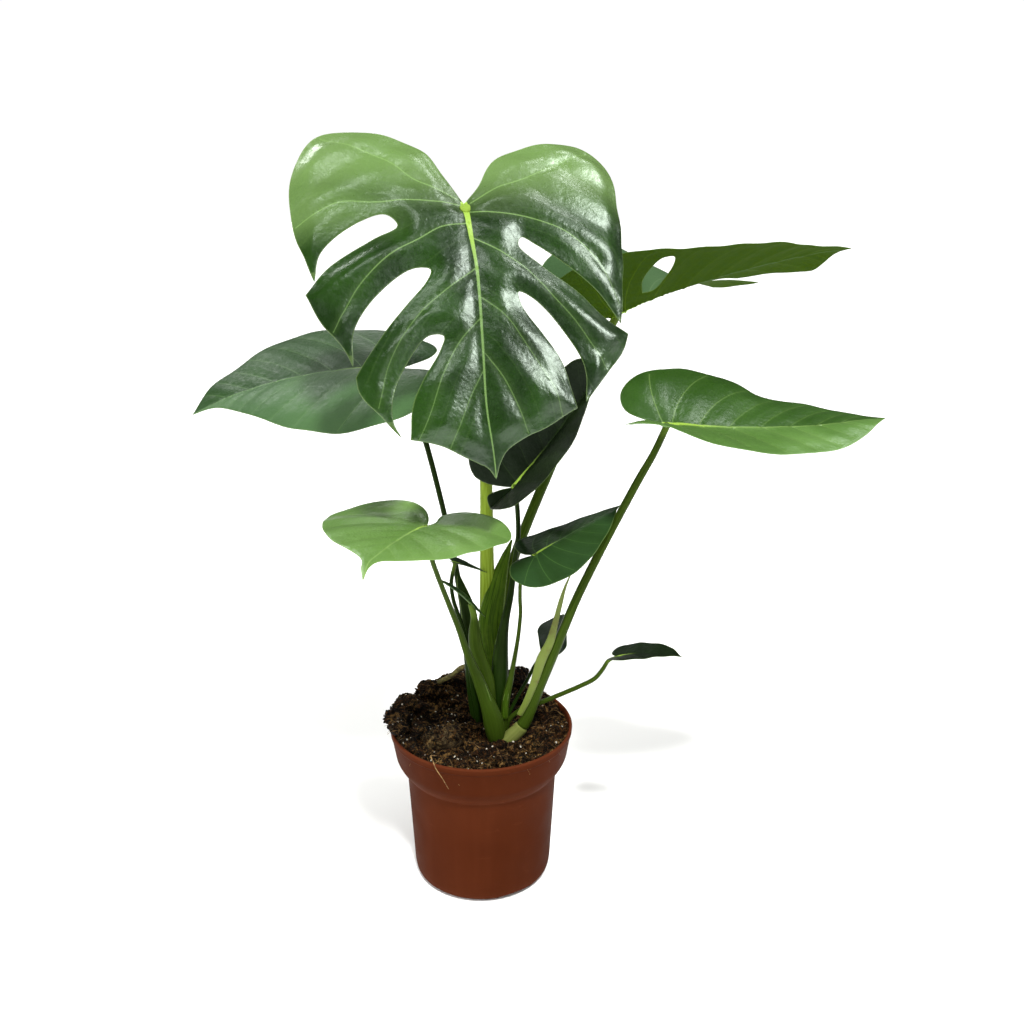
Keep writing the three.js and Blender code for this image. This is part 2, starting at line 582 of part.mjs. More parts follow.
// The flat mesh of a blade: its outline, any hole, the midrib and a grid.
function bladeMesh(leaf) {
  const outline = drawOutline(leaf.outline, leaf.step);
  const hole = leaf.hole ? drawOutline([[...leaf.hole, leaf.hole[0]]], leaf.step) : [];
  const rib = ribSize(leaf);
  const points = [...outline, ...hole];
  const clear = (point, margin) => isInside(point, outline)
    && !(hole.length && isInside(point, hole))
    && edgeDistance(point, outline) > margin
    && (!hole.length || edgeDistance(point, hole) > margin);
  for (let x = 0.4 * leaf.grid; x < RIB_REACH * leaf.length; x += leaf.grid) {
    for (const y of [-rib.halfWidth, 0, rib.halfWidth]) {
      if (clear([x, y], 0.8)) points.push([x, y]);
    }
  }
  const rows = leaf.grid * Math.sqrt(3) / 2;
  for (let row = -12; row * rows < leaf.length; row++) {
    for (let column = -16; column <= 16; column++) {
      const point = [row * rows + 0.01 * column, (column + (row & 1) / 2) * leaf.grid];
      const offRib = Math.abs(point[1]) > rib.halfWidth + 0.35 * leaf.grid;
      if (offRib && clear(point, 0.5 * leaf.step)) points.push(point);
    }
  }
  const triangles = triangulate(points).filter((triangle) => {
    const centre = [0, 1].map((axis) => triangle.reduce((sum, i) => sum + points[i][axis], 0) / 3);
    return isInside(centre, outline) && !(hole.length && isInside(centre, hole));
  });
  return { points, triangles, rib };
}

function ribSize(leaf) {
  return { halfWidth: 0.6 + 0.012 * leaf.length, height: 0.2 + 0.006 * leaf.length };
}

// A blade as one closed thin solid: the same triangles on both faces, with
// the midrib standing out below and the rim closed all round. grow thickens
// and widens it.
function bladeGeometry(leaf, grow = 0) {
  const { points, triangles, rib } = bladeMesh(leaf);
  const faces = [];
  const count = points.length;
  const rim = new Map();
  for (const [a, b, c] of triangles) {
    faces.push([a, b, c], [a + count, c + count, b + count]);
    for (const [from, to] of [[a, b], [b, c], [c, a]]) {
      if (!rim.delete(`${to},${from}`)) rim.set(`${from},${to}`, [from, to]);
    }
  }
  const outward = points.map(() => new THREE.Vector2());
  for (const [from, to] of rim.values()) {
    faces.push([from, from + count, to + count], [from, to + count, to]);
    const edge = new THREE.Vector2(points[to][0] - points[from][0], points[to][1] - points[from][1]);
    edge.normalize();
    for (const end of [from, to]) outward[end].add(new THREE.Vector2(edge.y, -edge.x));
  }

  const half = BLADE_THICKNESS / 2 + grow;
  const top = [];
  const bottom = [];
  points.forEach(([x, y], index) => {
    const push = outward[index].setLength(grow);
    const centre = bladePoint(leaf, x + push.x, y + push.y);
    const normal = bladeNormal(leaf, x, y);
    const onRib = Math.abs(y) < 0.01 && x > 0 && x < RIB_REACH * leaf.length;
    const ridge = onRib ? rib.height * (1 - 0.8 * x / leaf.length) : 0;
    top.push(centre.clone().addScaledVector(normal, half).toArray());
    bottom.push(centre.clone().addScaledVector(normal, -half - ridge).toArray());
  });
  return geometryFrom([...top, ...bottom], faces);
}

// ---------------------------------------------------------------- pot

const POT_WALL = {
  // Half sections [radius, height], from the axis under the floor up the
  // outside, over the lip and down the inside to the axis again.
  outside: [
    [0, 0], [POT.footRadius - POT.heel, 0],
    [POT.footRadius - 0.42 * POT.heel, 0.09 * POT.heel + 0.4],
    [POT.footRadius - 0.1 * POT.heel, 0.42 * POT.heel],
    [POT.footRadius, POT.heel],
    [POT.bodyRadius, POT.shoulder],
    [POT.bodyRadius + 2.2, POT.shoulder + 2.6],
    [POT.bodyRadius + 6, POT.shoulder + 7.5],
    [POT.collarRadius - 0.8, POT.collarFoot - 5],
    [POT.collarRadius, POT.collarFoot],
    [POT.rimRadius - 0.5, POT.height - 3.2],
    [POT.rimRadius, POT.height - 1.2],
    [POT.rimRadius - 0.6, POT.height],
  ],
  inside: [
    [POT.rimRadius - POT.lipWidth + 0.5, POT.height],
    [POT.rimRadius - POT.lipWidth, POT.height - 1],
    [POT.collarRadius - POT.wall, POT.collarFoot],
    [POT.bodyRadius + 6 - POT.wall, POT.shoulder + 8.6],
    [POT.bodyRadius - POT.wall, POT.shoulder],
    [POT.footRadius - POT.wall, POT.heel + 1],
    [POT.footRadius - POT.heel - POT.wall, POT.floor],
    [0, POT.floor],
  ],
};

// A half section turned round the vertical axis.
function turned(section, sides) {
  const lathe = new THREE.LatheGeometry(section.map(([r, z]) => new THREE.Vector2(r, z)), sides);
  lathe.rotateX(Math.PI / 2);
  lathe.deleteAttribute('normal');
  lathe.deleteAttribute('uv');
  const welded = mergeVertices(lathe, 1e-3);
  const index = welded.index.array;
  const faces = [];
  for (let i = 0; i < index.length; i += 3) {
    const [a, b, c] = [index[i], index[i + 1], index[i + 2]];
    if (a !== b && b !== c && c !== a) faces.push(a, b, c);
  }
  welded.setIndex(faces);
  return manifoldFrom(welded);
}

function potGeometry() {
  let pot = turned([...POT_WALL.outside, ...POT_WALL.inside], POT.sides);
  for (let i = 0; i < POT.notches; i++) {
    const notch = new THREE.BoxGeometry(POT.notchDepth, POT.notchWidth, 2 * POT.notchHeight);
    notch.translate(POT.footRadius, 0, 0);
    notch.rotateZ(radians(POT.firstNotch) + 2 * Math.PI * i / POT.notches);
    pot = pot.subtract(manifoldFrom(notch));
  }
  return geometryOf(pot);
}

// ---------------------------------------------------------------- soil

// Height of the soil: low round the crown, banked to the wall, and heaped
// at the left and the back, with an uneven crumbly face.
function soilHeight(x, y) {
  const radius = Math.hypot(x, y);
  const out = radius / POT.collarRadius;
  const fall = 1 - 0.8 * THREE.MathUtils.smoothstep(radius, SOIL.brim, POT.rimRadius);
  const heap = fall * (Math.max(0, y) * SOIL.backHeap + Math.max(0, -x) * SOIL.leftHeap);
  const crumbs = Math.sin(0.21 * x + 1.3) * Math.sin(0.17 * y + 0.4)
    + 0.6 * Math.sin(0.43 * x + 0.31 * y) + 0.5 * Math.sin(0.37 * y - 0.29 * x + 2);
  return SOIL.level + SOIL.bank * out ** 2 + heap / POT.collarRadius + SOIL.relief * crumbs;
}

// The soil before it is cut to the pot: its crumbly face over a straight drum.
function soilBody() {
  const points = [[0, 0, soilHeight(0, 0)]];
  const ring = (radius, height) => {
    for (let k = 0; k < POT.sides; k++) {
      const angle = 2 * Math.PI * k / POT.sides;
      const [x, y] = [radius * Math.sin(angle), -radius * Math.cos(angle)];
      points.push([x, y, height ?? soilHeight(x, y)]);
    }
  };
  SOIL.rings.forEach((radius) => ring(radius));
  ring(POT.rimRadius, 0);
  points.push([0, 0, 0]);
  const faces = [];
  for (let k = 0; k < POT.sides; k++) {
    const next = (k + 1) % POT.sides;
    faces.push([0, 1 + k, 1 + next]);
    for (let i = 0; i < SOIL.rings.length; i++) {
      const [a, b] = [1 + i * POT.sides + k, 1 + i * POT.sides + next];
      faces.push([a, a + POT.sides, b + POT.sides], [a, b + POT.sides, b]);
    }
    const last = 1 + SOIL.rings.length * POT.sides;
    faces.push([last + k, points.length - 1, last + next]);
  }
  return manifoldFrom(geometryFrom(points, faces));
}

// The room that the soil has: the inside of the pot, and all above its rim.
function soilRoom() {
  const inside = POT_WALL.inside.filter(([r]) => r > 0).reverse()
    .map(([r, z]) => [r - GAP, z === POT.floor ? z + GAP : z]);
  const top = POT.height + GAP;
  const [brim] = inside[inside.length - 1];
  return turned([[0, POT.floor + GAP], ...inside, [brim, top], [2 * POT.rimRadius, top],
    [2 * POT.rimRadius, 2 * POT.height], [0, 2 * POT.height]], POT.sides);
}

function clod({ at: [x, y], size, lift, turn }, index) {
  const lump = new THREE.IcosahedronGeometry(1, 1);
  const position = lump.attributes.position;
  const point = new THREE.Vector3();
  for (let i = 0; i < position.count; i++) {
    point.fromBufferAttribute(position, i);
    const dent = 1 + 0.16 * Math.sin(3.1 * point.x + 2 * index)
      + 0.14 * Math.sin(4.3 * point.y + index) * Math.sin(3.7 * point.z + 3 * index);
    point.multiplyScalar(dent);
    position.setXYZ(i, ...point);
  }
  lump.scale(...size);
  lump.rotateZ(radians(turn));
  lump.translate(x, y, soilHeight(x, y) + lift);
  return manifoldFrom(lump);
}

function soilGeometry(holes) {
  let soil = soilBody();
  CLODS.forEach((entry, index) => {
    soil = soil.add(clod(entry, index));
  });
  soil = soil.intersect(soilRoom());
  for (const hole of holes) soil = soil.subtract(hole);
  return geometryOf(soil);
}

// ---------------------------------------------------------------- plant

// The rows of a stalk with its last one in the blade, just past the notch.
function stalkRows(name) {
  const rows = STALKS[name].stalk;
  const radius = 0.94 * rows[rows.length - 1][3];
  const joint = bladePoint(LEAVES[name], 1.25 * radius, 0);
  return [...rows, [...joint, radius, radius]];
}

// A stalk with its sheath, cut off flat against the underside of its blade.
function stalkSolid(name, grow = 0) {
  const rows = stalkRows(name);
  let solid = sweep(rows, { steps: rows.length > MANY_ROWS ? 1 : 2, grow });
  if (STALKS[name].sheath) solid = solid.add(sweep(STALKS[name].sheath, { grow }));
  return solid.subtract(manifoldFrom(bladeGeometry(LEAVES[name], GAP)));
}

function addPiece(group, name, geometry, finish) {
  const flat = geometry.toNonIndexed();
  flat.computeVertexNormals();
  const mesh = new THREE.Mesh(flat, new THREE.MeshStandardMaterial({ metalness: 0, ...FINISH[finish] }));
  mesh.name = name;
  group.add(mesh);
}

const group = new THREE.Group();
const plant = new THREE.Group();
group.add(plant);

addPiece(group, 'pot', potGeometry(), 'pot');

const taken = [];
const placeStem = (name, solid, grown, finish) => {
  let cut = solid;
  for (const other of taken) cut = cut.subtract(other);
  taken.push(grown);
  addPiece(plant, name, geometryOf(cut), finish);
};

for (const [name, leaf] of Object.entries(LEAVES)) {
  addPiece(plant, `${name}_blade`, bladeGeometry(leaf), leaf.finish);
}
for (const [name, { finish }] of Object.entries(STALKS)) {
  placeStem(`${name}_stalk`, stalkSolid(name), stalkSolid(name, GAP), finish);
}
placeStem('dry_sheath', sweep(DRY_SHEATH), sweep(DRY_SHEATH, { grow: GAP }), 'paleSheath');
placeStem('aerial_root', sweep(AERIAL_ROOT), sweep(AERIAL_ROOT, { grow: GAP }), 'root');
const crown = (grow) => sweep(CROWN, { grow }).add(sweep(KNUCKLE, { grow }));
placeStem('crown', crown(0), crown(GAP), 'crown');

addPiece(group, 'soil', soilGeometry(taken), 'soil');

export default group;
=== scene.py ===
"""Potted split-leaf monstera: fine leaves, stalks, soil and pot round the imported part.

Tables are in millimetres, in the part's own frame: +Z up, the plant faces -Y and
the origin is the centre of the pot's foot. Meshes are made in metres.
"""

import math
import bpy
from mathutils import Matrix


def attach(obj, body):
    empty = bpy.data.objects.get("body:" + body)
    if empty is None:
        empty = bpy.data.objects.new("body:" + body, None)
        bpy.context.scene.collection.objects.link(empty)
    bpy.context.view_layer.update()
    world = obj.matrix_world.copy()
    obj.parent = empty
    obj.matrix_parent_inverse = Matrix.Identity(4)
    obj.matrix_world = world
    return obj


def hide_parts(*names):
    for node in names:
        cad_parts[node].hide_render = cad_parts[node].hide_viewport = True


bl_info = {
    "name": "Potted Monstera",
    "version": (1, 0, 0),
    "blender": (4, 5, 0),
    "location": "3D View > Sidebar > Monstera",
    "description": "Makes a young split-leaf monstera in a round nursery pot, leaf by leaf",
    "category": "Add Mesh",
}

import bmesh
import bpy
import numpy as np
from bpy.props import FloatProperty, FloatVectorProperty, IntProperty, PointerProperty
from mathutils import Euler, Vector, geometry, noise

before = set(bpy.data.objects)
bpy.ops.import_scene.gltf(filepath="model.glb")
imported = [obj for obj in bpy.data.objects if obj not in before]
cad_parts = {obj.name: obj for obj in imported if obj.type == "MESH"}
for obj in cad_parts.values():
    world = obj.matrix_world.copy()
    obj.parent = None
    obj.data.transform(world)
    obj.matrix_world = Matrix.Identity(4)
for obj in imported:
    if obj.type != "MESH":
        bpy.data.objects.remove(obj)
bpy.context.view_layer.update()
MM = 0.001

# Each blade: the place where it meets its stalk, and its heading, pitch and roll there; its
# length from there to the tip and its half width; how far it arches along its length and
# droops behind the stalk; for its left and right half, the fold at the midrib, how that
# turns towards the tip, a lift near the stalk and the curl towards the edge; its twist and
# its waves; how far its rim rolls back and how much it is quilted; its slot; its outline,
# laid flat, stroke by stroke, and its closed hole. Angles are in degrees.
LEAVES = {
  "main_leaf": {
    "at": [-6, -50, 545], "heading": -80, "pitch": -54, "roll": -2,
    "length": 188, "half_width": 112, "arch": 18, "back_droop": 0,
    "fold": [8, 8], "fold_turn": [0, 0], "curl": [25, 25], "twist": 0,
    "waves": {"count": 6, "height": 0.8}, "roll_back": 1.0, "quilting": 1.0, "slot": "gloss_leaf",
    "outline": [
      [[0, 0], [-12, 10], [-32, 22], [-45, 48], [-50, 86], [-36, 107], [-6, 111],
        [37, 109], [71, 104], [84, 102]],
      [[84, 102], [64, 86], [47, 67], [31, 45], [26, 36], [33, 33], [48, 48],
        [65, 72], [82, 91], [91, 107]],
      [[91, 107], [106, 100], [117, 90], [128, 81], [139, 71]],
      [[139, 71], [124, 72], [107, 68], [85, 53], [69, 37], [66, 30], [74, 31],
        [94, 44], [120, 58], [144, 64]],
      [[144, 64], [157, 40], [162, 29], [170, 16], [178, 11], [188, 8]],
      [[188, 8], [181, 3], [173, -12], [167, -24], [162, -45]],
      [[162, -45], [144, -43], [124, -35], [105, -23], [96, -20], [96, -30],
        [111, -43], [131, -54], [151, -55], [160, -51]],
      [[160, -51], [150, -60], [132, -75], [122, -77]],
      [[122, -77], [108, -69], [93, -58], [75, -42], [59, -29], [50, -26], [50, -38],
        [71, -65], [92, -77], [114, -79]],
      [[114, -79], [104, -83], [85, -97], [64, -107]],
      [[64, -107], [48, -93], [29, -62], [19, -45], [11, -54], [20, -78], [37, -96],
        [55, -101]],
      [[55, -101], [40, -106], [22, -112], [-8, -115], [-34, -110], [-51, -97],
        [-55, -76], [-50, -50], [-38, -24], [-20, -12], [0, 0]],
    ],
  },
  "back_right_leaf": {
    "at": [106, 71, 457], "heading": 2, "pitch": 25, "roll": -30,
    "length": 190, "half_width": 80, "arch": 20, "back_droop": 4,
    "fold": [45, 15], "fold_turn": [-55, -25], "lift": [37, 0], "curl": [6, 6], "twist": 0,
    "waves": {"count": 6, "height": 0.3}, "slot": "olive_leaf",
    "outline": [
      [[0, 0], [-16, 8], [-38, 22], [-47, 44], [-36, 66], [-14, 78], [12, 82], [40, 82],
        [76, 73]],
      [[76, 73], [70, 60], [65, 48], [63, 37], [70, 36], [78, 50], [90, 69]],
      [[90, 69], [101, 65], [113, 57], [124, 48]],
      [[124, 48], [110, 41], [95, 34], [84, 24], [92, 22], [104, 30]],
      [[104, 30], [120, 29], [134, 26], [150, 28], [163, 27], [171, 16], [178, 4],
        [190, -5]],
      [[190, -5], [178, -15], [164, -22], [150, -31], [138, -41], [115, -48],
        [82, -56], [60, -63], [42, -71], [14, -77], [-14, -76], [-36, -64],
        [-46, -44], [-38, -22], [-16, -8], [0, 0]],
    ],
    "hole": [[27, -15], [29, -31], [37, -45], [47, -55], [55, -54], [54, -42], [46, -26],
      [36, -14]],
  },
  "left_leaf": {
    "at": [-60, 30, 423], "heading": 183, "pitch": 1, "roll": -4,
    "length": 168, "half_width": 86, "arch": 26, "back_droop": 7,
    "fold": [8, 13], "fold_turn": [0, 0], "curl": [45, 14], "twist": -18,
    "waves": {"count": 3, "height": 0.7}, "slot": "shade_leaf",
    "outline": [
      [[0, 0], [-12, 8], [-24, 22], [-28, 44], [-20, 68], [-4, 81], [20, 86], [48, 84],
        [76, 72], [104, 51], [131, 24], [150, 8], [168, 2]],
      [[168, 2], [152, -20], [134, -33], [112, -52], [84, -73], [52, -84], [20, -87],
        [-4, -80], [-20, -66], [-27, -42], [-22, -20], [-10, -8], [0, 0]],
    ],
  },
  "right_leaf": {
    "at": [136, -22, 390], "heading": -2, "pitch": -7, "roll": 7,
    "length": 162, "half_width": 66, "arch": -16, "back_droop": -42,
    "fold": [30, 18], "fold_turn": [-30, -42], "curl": [5, 5], "twist": 0,
    "waves": {"count": 3, "height": 0.4}, "slot": "fresh_leaf",
    "outline": [
      [[0, 0], [-14, 4], [-25, 14], [-26, 31], [-16, 47], [2, 58], [22, 66], [45, 66],
        [62, 61], [76, 50], [94, 44], [114, 42], [134, 31], [150, 19], [163, 12]],
      [[163, 12], [147, -7], [128, -22], [107, -31], [86, -38], [60, -45], [38, -51],
        [14, -54], [-12, -51], [-25, -41], [-24, -19], [-13, -5], [0, 0]],
    ],
  },
  "front_left_leaf": {
    "at": [-32, -96, 336], "heading": -112, "pitch": 6, "roll": 0,
    "length": 90, "half_width": 66, "arch": 21, "back_droop": 20,
    "fold": [0, 4], "fold_turn": [0, 0], "curl": [10, 10], "twist": 0,
    "waves": {"count": 3, "height": 0.4}, "slot": "fresh_leaf",
    "outline": [
      [[0, 0], [-8, 2], [-20, 1], [-28, 10], [-30, 26], [-26, 44], [-11, 57], [11, 57],
        [28, 51], [47, 41], [58, 29], [65, 12], [70, 1], [78, -1], [91, 2]],
      [[91, 2], [80, -5], [72, -9], [66, -16], [58, -33], [42, -54], [19, -70],
        [-6, -77], [-24, -66], [-32, -46], [-32, -28], [-26, -15], [-14, -6], [0, 0]],
    ],
  },
  "shaded_leaf": {
    "at": [26, -6, 337], "heading": 3, "pitch": 49, "roll": 28,
    "length": 126, "half_width": 62, "arch": -15, "back_droop": 24,
    "fold": [45, 38], "fold_turn": [0, 0], "curl": [10, 22], "twist": 15,
    "waves": {"count": 3, "height": 0.5}, "slot": "shade_leaf",
    "outline": [
      [[0, 0], [-7, 8], [-14, 17], [-18, 27], [-15, 36], [-6, 44], [12, 49], [40, 46],
        [66, 36], [90, 26], [106, 20], [114, 12], [126, 0]],
      [[126, 0], [106, -3], [92, -14], [80, -29], [64, -41], [46, -48], [20, -51],
        [-2, -48], [-15, -36], [-22, -20], [-24, -2], [-20, 8], [-10, 6], [0, 0]],
    ],
  },
  "middle_leaf": {
    "at": [41, -35, 293], "heading": 24, "pitch": 18, "roll": 10,
    "length": 80, "half_width": 36, "arch": -6, "back_droop": 10,
    "fold": [-16, -16], "fold_turn": [0, 0], "curl": [0, 0], "twist": -5,
    "waves": {"count": 3, "height": 0.3}, "slot": "shade_leaf",
    "outline": [
      [[0, 0], [-4, 9], [-4, 22], [0, 36], [9, 42], [22, 39], [42, 31], [62, 22],
        [74, 12], [81, 6]],
      [[81, 6], [66, -8], [48, -20], [22, -31], [-4, -31], [-18, -24], [-24, -12],
        [-20, -2], [-10, 3], [0, 0]],
    ],
  },
  "small_back_leaf": {
    "at": [50, 30, 180], "heading": 56, "pitch": 38, "roll": -10,
    "length": 44, "half_width": 20, "arch": 8, "back_droop": 0,
    "fold": [6, 6], "fold_turn": [0, 0], "curl": [4, 4], "twist": 0,
    "waves": {"count": 3, "height": 0.3}, "slot": "shade_leaf",
    "outline": [
      [[0, 0], [8, 6], [15, 11], [24, 17], [34, 12], [44, 1]],
      [[44, 1], [36, -6], [24, -14], [11, -21], [2, -17], [0, 0]],
    ],
  },
  "small_right_leaf": {
    "at": [110, 0, 193], "heading": -16, "pitch": 20, "roll": -9,
    "length": 54, "half_width": 20, "arch": 22, "back_droop": 0,
    "fold": [15, 6], "fold_turn": [0, 0], "curl": [4, 4], "twist": 6,
    "waves": {"count": 3, "height": 0.3}, "slot": "shade_leaf",
    "outline": [
      [[0, 0], [-5, 6], [-3, 15], [10, 18], [28, 15], [42, 10], [54, -3]],
      [[54, -3], [40, -9], [24, -19], [8, -19], [-4, -12], [-5, -4], [0, 0]],
    ],
  },
  "small_left_leaf": {
    "at": [-22, 15, 269], "heading": 4, "pitch": -18, "roll": 6,
    "length": 28, "half_width": 7, "arch": 4, "back_droop": 0,
    "fold": [20, 20], "fold_turn": [0, 0], "curl": [0, 0], "twist": 0,
    "waves": {"count": 2, "height": 0.1}, "slot": "shade_leaf",
    "outline": [
      [[0, 0], [-4, 3], [0, 6], [8, 5], [18, 2.5], [29, 0]],
      [[29, 0], [18, -2.5], [8, -5], [0, -6], [-4, -3], [0, 0]],
    ],
  },
  "new_leaf": {
    "at": [-5, -1, 236.5], "heading": 178, "pitch": 50, "roll": 0,
    "length": 38, "half_width": 6, "arch": 22, "back_droop": 12,
    "fold": [24, 24], "fold_turn": [0, 0], "curl": [0, 0], "twist": 0,
    "waves": {"count": 2, "height": 0.1}, "slot": "shade_leaf",
    "outline": [
      [[-12, 0], [-5, 2.4], [4, 3.6], [16, 3.8], [28, 2.6], [39, 0]],
      [[39, 0], [28, -2.6], [16, -3.8], [4, -3.6], [-5, -2.4], [-12, 0]],
    ],
  },
}

# Each stalk and the free part of its sheath, from the soil up: rows of x, y, z, half width
# and half depth. All other routes below are written in the same way.
STALKS = {
  "front_left_leaf": {
    "slot": "stalk",
    "stalk": [
      [13.5, -9, 112, 4, 4], [13, -10, 120, 6, 5], [12, -11.5, 129, 7.8, 6],
      [10.5, -12.5, 139, 8.4, 6], [7, -14, 154, 6.9, 5.2], [3.3, -15, 165, 5.6, 4.4],
      [-1.8, -18, 182, 4.6, 3.8], [-7, -22, 198, 3.6, 3.2], [-10.3, -26, 210, 2.9, 2.8],
      [-15, -34, 231, 2.4, 2.4], [-20.3, -44, 252, 2.1, 2.1], [-25.8, -58, 276, 1.9, 1.9],
      [-31, -74, 302, 1.8, 1.8], [-33, -87, 321, 1.7, 1.7],
    ],
    "sheath": [[9, -15, 142, 4.4, 3], [6, -16.5, 160, 3.4, 2.4], [2.5, -18, 176, 2, 1.5],
      [0, -19, 187, 0.5, 0.5]],
  },
  "right_leaf": {
    "slot": "stalk",
    "stalk": [
      [34, -10, 136, 5.4, 5], [37.5, -10, 143, 4.9, 4.7], [43.2, -10.4, 158, 4.3, 4.3],
      [48.4, -11, 173, 4, 4], [56.2, -12, 195, 4, 4], [68, -14.5, 229, 3.7, 3.7],
      [75.7, -14, 249, 3.5, 3.5], [91.2, -12, 283, 3.4, 3.4], [102.3, -11, 306, 3.2, 3.2],
      [121.5, -14, 347, 3, 3], [130.3, -18, 366, 2.7, 2.7],
    ],
  },
  "middle_leaf": {
    "slot": "stalk",
    "stalk": [
      [18, -4, 112, 3, 3], [18.8, -5, 134, 3, 2.8], [19.6, -6, 152, 3.5, 3],
      [21.2, -6.5, 163, 3.2, 2.8], [23.7, -7, 174, 2.6, 2.4], [25.8, -7.5, 186, 2, 2],
      [28.5, -8, 202, 1.7, 1.7], [30.8, -10, 220, 1.6, 1.6], [32, -14, 238, 1.5, 1.5],
      [31.5, -19, 252, 1.5, 1.5], [32.6, -26, 271, 1.5, 1.5],
    ],
    "sheath": [[19, -8.5, 142, 3, 1.8], [20, -8.5, 158, 2.2, 1.4], [23, -8.5, 176, 0.4, 0.4]],
  },
  "new_leaf": {
    "slot": "stalk",
    "stalk": [
      [8, -3, 112, 4.2, 3.6], [8, -2.5, 140, 4.6, 3.6], [5.5, -2, 172, 5.4, 3.6],
      [0, -2, 191, 5.6, 3.4], [-3.6, -2, 203, 5.8, 3.2], [-4.8, -2, 217, 4.5, 2.8],
      [-5, -1.5, 228, 2.8, 2],
    ],
  },
  "shaded_leaf": {
    "slot": "dark_stalk",
    "stalk": [
      [14, 1, 112, 5, 4.4], [14, 2, 130, 6, 5], [15, 2, 153, 7, 5.2],
      [15.4, 2, 180, 6.9, 5], [17.5, 2, 207, 4.8, 4], [20, 1, 225, 3.4, 3.2],
      [24, 4, 244, 2.7, 2.6], [27, 7, 268, 2.1, 2.1], [30, 8, 292, 1.9, 1.9],
      [29.5, 2, 317, 1.9, 1.9],
    ],
    "sheath": [[12, 0, 186, 3.2, 2.4], [13.5, 0, 204, 2, 1.6], [16, 0, 220, 0.5, 0.5]],
  },
  "back_right_leaf": {
    "slot": "stalk",
    "stalk": [
      [13, 8, 112, 4.4, 3.6], [13, 12, 150, 5, 4], [14, 17, 195, 5, 4.2],
      [19, 23, 236, 4.2, 4], [26, 28, 264, 4, 4], [38, 35, 296, 4.2, 4.2],
      [56, 45, 338, 4.1, 4.1], [78, 58, 388, 3.8, 3.8], [96, 67, 432, 3.4, 3.4],
    ],
    "sheath": [
      [13, 8, 114, 4.6, 3.8], [12, 12, 160, 7, 4.4], [10, 14, 190, 8.8, 4.4],
      [8.2, 17, 216, 10.4, 4.2], [13.5, 21, 246, 7.6, 3.6], [19, 25, 266, 4.2, 2.6],
      [25, 27, 283, 0.8, 0.8],
    ],
  },
  "main_leaf": {
    "slot": "stalk",
    "stalk": [
      [8, 15, 114, 4.6, 4.2], [6, 19, 145, 5.6, 5], [4, 24, 185, 6.4, 5.6],
      [5, 25, 229, 6.4, 5.8], [5, 22, 278, 5.6, 5.4], [5, 19, 328, 5, 5],
      [4, 15, 380, 4.6, 4.6], [1, -8, 443, 4.1, 4.1], [-2, -31, 502, 3.7, 3.7],
    ],
  },
  "left_leaf": {
    "slot": "dark_stalk",
    "stalk": [
      [-2, 17, 114, 4, 4], [-5.2, 19, 132, 5, 4.6], [-7.1, 21, 152, 5.5, 4.8],
      [-9.7, 22, 184, 5.4, 4.6], [-12.7, 24, 216, 4.6, 4], [-15.5, 25.5, 232, 3.4, 3.2],
      [-18.5, 26, 247, 2.7, 2.6], [-21.1, 27, 264, 2.3, 2.3], [-24.1, 27, 279, 2.2, 2.2],
      [-30, 30, 308, 2.2, 2.2], [-43, 33, 363, 2.2, 2.2], [-55, 33, 402, 2, 2],
    ],
    "sheath": [
      [-9.5, 20.5, 190, 4.4, 3], [-10.5, 21, 214, 5.4, 2.8], [-11.6, 21, 228, 5.7, 2.4],
      [-14.3, 22, 238, 4.6, 2.2], [-17, 23.5, 248, 2.6, 1.6], [-19, 24.5, 257, 0.5, 0.5],
    ],
  },
  "small_left_leaf": {
    "slot": "dark_stalk",
    "stalk": [
      [-2, 13, 114, 2.6, 2.6], [-3.5, 13, 135, 2.5, 2.5], [-6.4, 13, 155, 2.5, 2.5],
      [-10.5, 13, 188, 2.1, 2.1], [-14.7, 13, 212, 1.8, 1.8], [-19.4, 13, 227, 1.7, 1.7],
      [-22.5, 14, 238, 1.6, 1.6], [-23.6, 14.5, 252, 1.6, 1.6],
    ],
  },
  "small_back_leaf": {
    "slot": "dark_stalk",
    "stalk": [
      [19, 8, 116, 2, 2], [22, 8, 134, 1.6, 1.6], [28.3, 12, 147, 1.5, 1.5],
      [39.5, 20, 165, 1.5, 1.5], [45, 25, 174, 1.5, 1.5],
    ],
  },
  "small_right_leaf": {
    "slot": "stalk",
    "stalk": [
      [21, 1, 116, 2.2, 2.2], [22, 1, 133, 2, 2], [31.9, 3, 142.5, 2, 2],
      [50, 4.5, 149.5, 2, 2], [81, 6, 163, 1.9, 1.9], [93, 4, 171, 1.8, 1.8],
      [99, 2, 180, 1.7, 1.7], [104, 1, 189, 1.6, 1.6],
    ],
  },
}

DRY_SHEATH = [
  [31.5, -12.4, 147, 2.4, 1.2], [37.8, -13, 161, 2.8, 1.4], [43.2, -14.2, 177, 3.2, 1.4],
  [48.8, -15.5, 198, 4, 1.4], [55.2, -16.5, 213, 3.4, 1.3], [59.2, -17.5, 230, 2.4, 1.1],
  [63.4, -18, 249, 1.8, 0.9], [66.4, -18, 260, 1.1, 0.7], [71.4, -18, 273, 0.4, 0.4],
]

AERIAL_ROOT = [
  [-9, 29, 160, 2, 2], [-12, 32, 168, 2.2, 2.2], [-18.2, 36, 165, 2.1, 2.1],
  [-27, 39, 156, 2, 2], [-36, 41, 150, 1.9, 1.9], [-45, 41, 143, 1.8, 1.8],
  [-50, 40, 130, 1.5, 1.5],
]

CROWN = [
  [12, 4, 96, 6, 6], [12, 4, 106, 12, 14], [12, 4, 118, 12, 15], [13, 2, 125, 6, 8],
]

